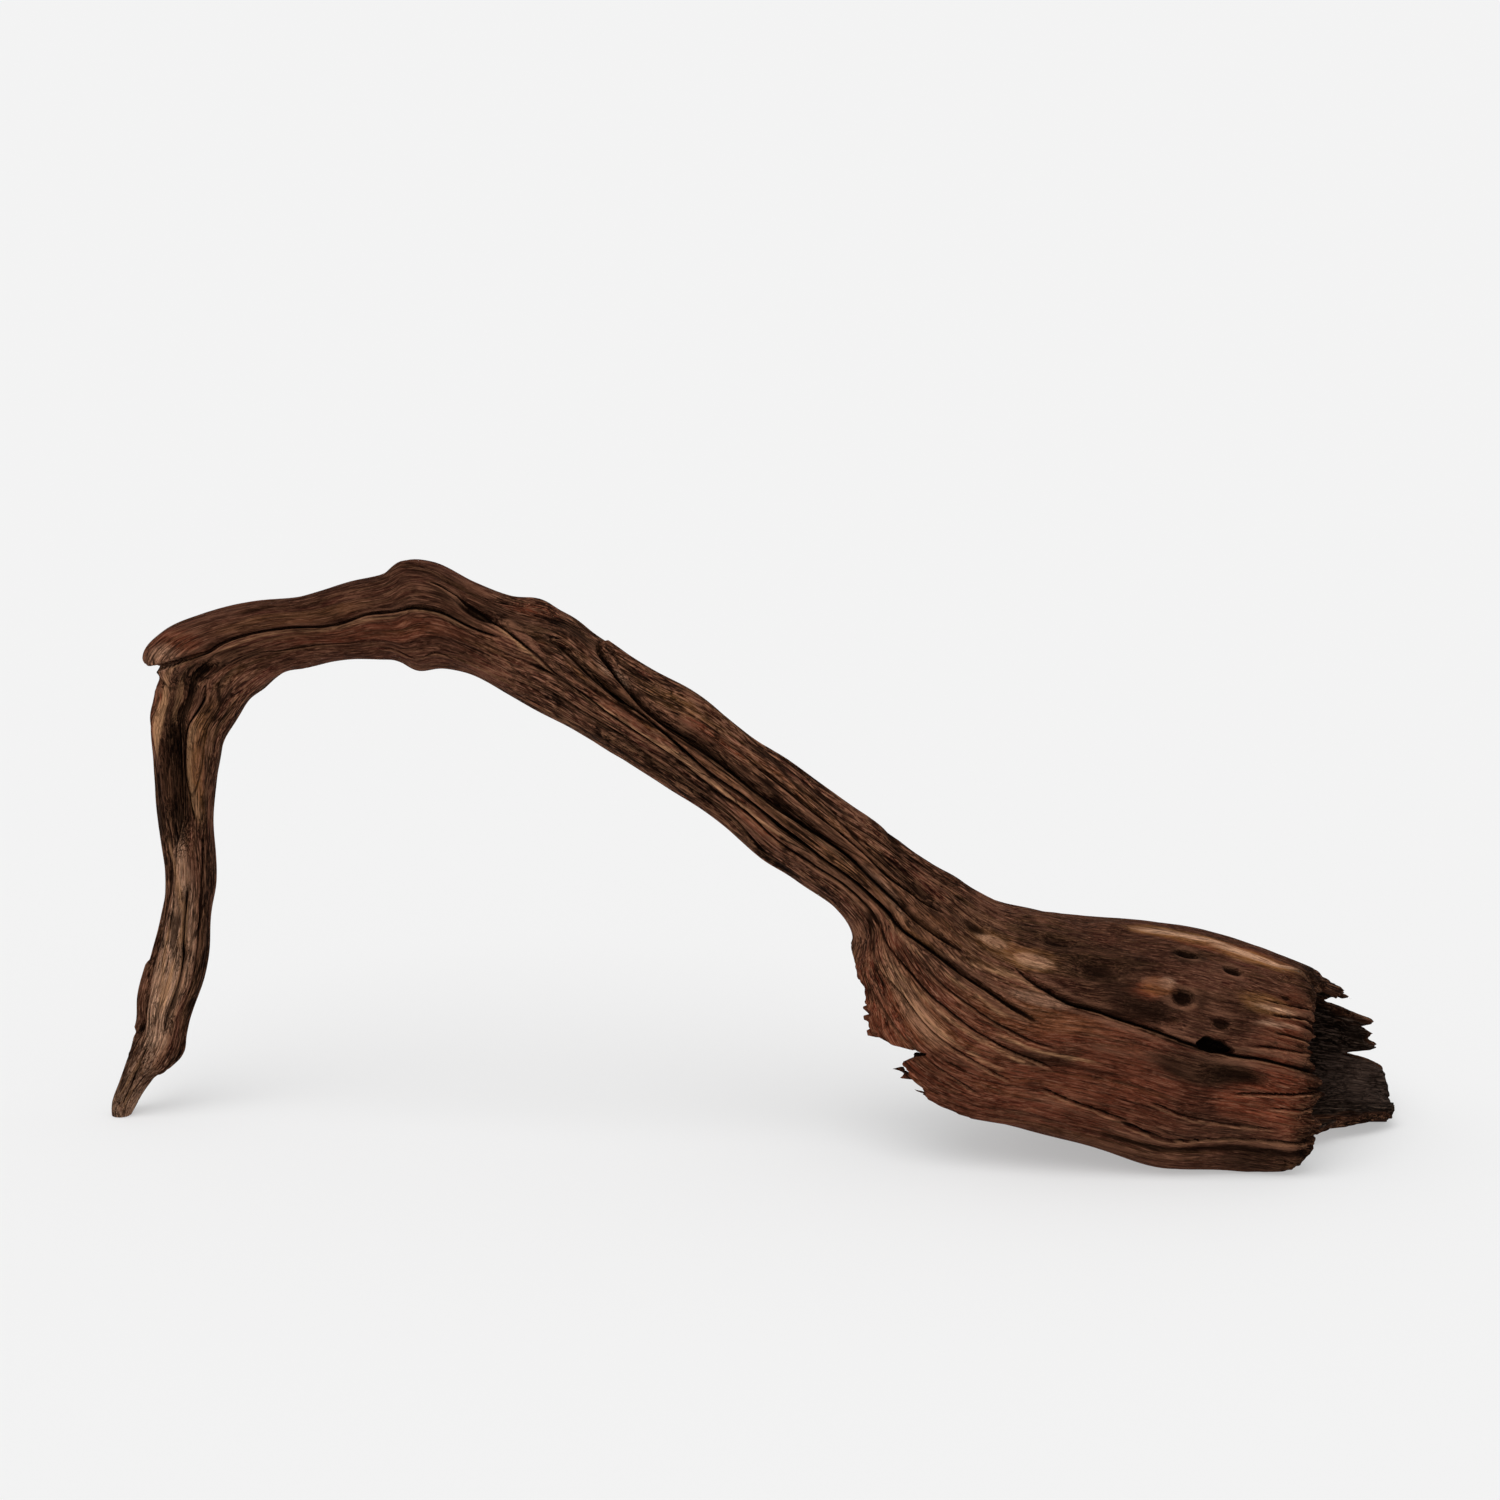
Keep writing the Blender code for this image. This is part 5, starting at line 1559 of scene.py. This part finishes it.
# %% [markdown]
# Inside the foot the wood is rotten and nearly black, with grey flakes, and the
# tongue that stands out at the toe is ashen. Deep inside, away from the toe, it is
# darker still, as painted shade. Freshly cut faces, seen through the depth, are red-brown.
# At the end one mild multiply warms the whole wood, which is simpler than shifting
# every colour above.

# %% The rotten hollow, with painted shade deep inside
rot_and_shade = ramp(streaks, (
    (0.36, srgb(7, 5, 3)),
    (0.52, srgb(28, 22, 17)),
    (0.68, srgb(96, 82, 70)),
))
ashen = times(read("ashen"), ranged(streaks, 0.36, 0.6, 0.3, 0.9))
rot_and_shade = mixed(ashen, rot_and_shade, srgb(78, 66, 58))
rot_and_shade = mixed(times(flake_tops, 0.9), rot_and_shade, srgb(112, 97, 86))
rot_and_shade = mixed(flake_edges, rot_and_shade, srgb(8, 6, 4))
# painted shade deep inside the hollow, away from the toe
rot_and_shade = mixed(ranged(along_branch, 86.5, 84.0, 0.0, 0.85), rot_and_shade, srgb(8, 7, 5))
colour = mixed(times(read("inside"), 0.45), colour, srgb(60, 33, 21))
colour = mixed(times(read("rot_and_shade"), 0.92), colour, rot_and_shade)
WARMTH = (1.04, 0.955, 0.97, 1.0)
colour = mixed(1.0, colour, WARMTH, "MULTIPLY")
links.new(colour, shader.inputs["Base Color"])
print(f"{len(tree_nodes)} nodes with all colours")

# %% [markdown]
# Dry wood hardly shines. The roughness still varies a little, because worn ridges
# are smoother than the fibre between them. The last, finest fibres are bump: at
# under a millimetre they would cost millions of faces as real shapes.

# %% Roughness and fine bump
BUMP_HEIGHT = 0.0014

roughness = ranged(streaks, 0.3, 0.7, 0.92, 0.74)
links.new(maths("SUBTRACT", roughness, times(soot_and_shade, 0.08)), shader.inputs["Roughness"])
shader.inputs["Specular IOR Level"].default_value = 0.015
shader.inputs["Metallic"].default_value = 0.0

bump_height = maths("ADD", times(maths("ADD", hairs, crumbs), 0.5), streaks)
bump_lines = maths("ADD", maths("ADD", dark, flake_edges), tip_edges)
bump_height = maths("SUBTRACT", bump_height, times(bump_lines, 0.6))
bump = tree_nodes.new("ShaderNodeBump")
bump.inputs["Strength"].default_value = 1.0
bump.inputs["Distance"].default_value = BUMP_HEIGHT
links.new(bump_height, bump.inputs["Height"])
links.new(bump.outputs["Normal"], shader.inputs["Normal"])

# %% [markdown]
# Smooth shading hides the triangles, but it would also round off the splinters and
# the edges of the tears. Edges sharper than a limit are therefore kept sharp.

# %% The finish on the wood
SHARPEST_SMOOTH = math.radians(62)

wood.data.materials.clear()
wood.data.materials.append(finish)
wood.data.polygons.foreach_set("use_smooth", np.ones(len(wood.data.polygons), bool))
wood.data.set_sharp_from_angle(angle=SHARPEST_SMOOTH)
print(f"finish of {len(tree_nodes)} nodes on {len(wood.data.polygons)} faces")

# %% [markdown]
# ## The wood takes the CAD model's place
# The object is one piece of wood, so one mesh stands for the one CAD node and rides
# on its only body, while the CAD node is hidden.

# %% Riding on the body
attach(wood, "root")
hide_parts("driftwood")

# %% [markdown]
# ## Floor and light
# The photo shows a plain, nearly white ground and light from all sides. The floor
# is so large that its far edge lies behind the horizon of a view from above. Half of
# its brightness is its own glow, as a light table has, because a floor lit only from
# above would need lamps that bleach the wood. The contact shadow stays, but pale.

# %% The floor
FLOOR_HALF = 60
FLOOR_DROP = 0.0002
FLOOR_GREY = (0.5, 0.5, 0.5, 1)
FLOOR_GLOW = 0.4
WHITE = (1, 1, 1, 1)

near_left, far_right = -FLOOR_HALF, FLOOR_HALF
floor_corners = [(near_left, near_left, 0), (far_right, near_left, 0),
                 (far_right, far_right, 0), (near_left, far_right, 0)]
floor_mesh = bpy.data.meshes.new("floor")
floor_mesh.from_pydata(floor_corners, [], [(0, 1, 2, 3)])
floor = bpy.data.objects.new("floor", floor_mesh)
bpy.context.collection.objects.link(floor)
floor.location.z = -FLOOR_DROP
paper = bpy.data.materials.new("pale_floor")
paper.use_nodes = True
paper_shader = paper.node_tree.nodes["Principled BSDF"]
paper_shader.inputs["Base Color"].default_value = FLOOR_GREY
paper_shader.inputs["Emission Color"].default_value = WHITE
paper_shader.inputs["Emission Strength"].default_value = FLOOR_GLOW
paper_shader.inputs["Roughness"].default_value = 1.0
paper_shader.inputs["Specular IOR Level"].default_value = 0.0
floor_mesh.materials.append(paper)
print(f"floor of {2 * FLOOR_HALF} m")

# %% [markdown]
# A bright, even world gives most of the light, and one very broad sun adds a
# direction without a hard shadow. The Standard view keeps colours as they are given,
# where a filmic one would grey them.

# %% World and sun
ROOM_LIGHT = 0.60
SUN_STRENGTH = 1.4
SUN_WIDTH = math.radians(50)
SUN_DIRECTION = Vector((0.25, 0.45, -1))

world = bpy.data.worlds.new("soft_room")
world.use_nodes = True
world.node_tree.nodes["Background"].inputs["Color"].default_value = WHITE
world.node_tree.nodes["Background"].inputs["Strength"].default_value = ROOM_LIGHT
bpy.context.scene.world = world

sun = bpy.data.objects.new("broad_sun", bpy.data.lights.new("broad_sun", "SUN"))
bpy.context.collection.objects.link(sun)
sun.data.energy = SUN_STRENGTH
sun.data.angle = SUN_WIDTH
sun.rotation_euler = SUN_DIRECTION.to_track_quat("-Z", "Y").to_euler()
bpy.context.scene.view_settings.view_transform = "Standard"
print(f"world of {ROOM_LIGHT}, sun of {SUN_STRENGTH}")
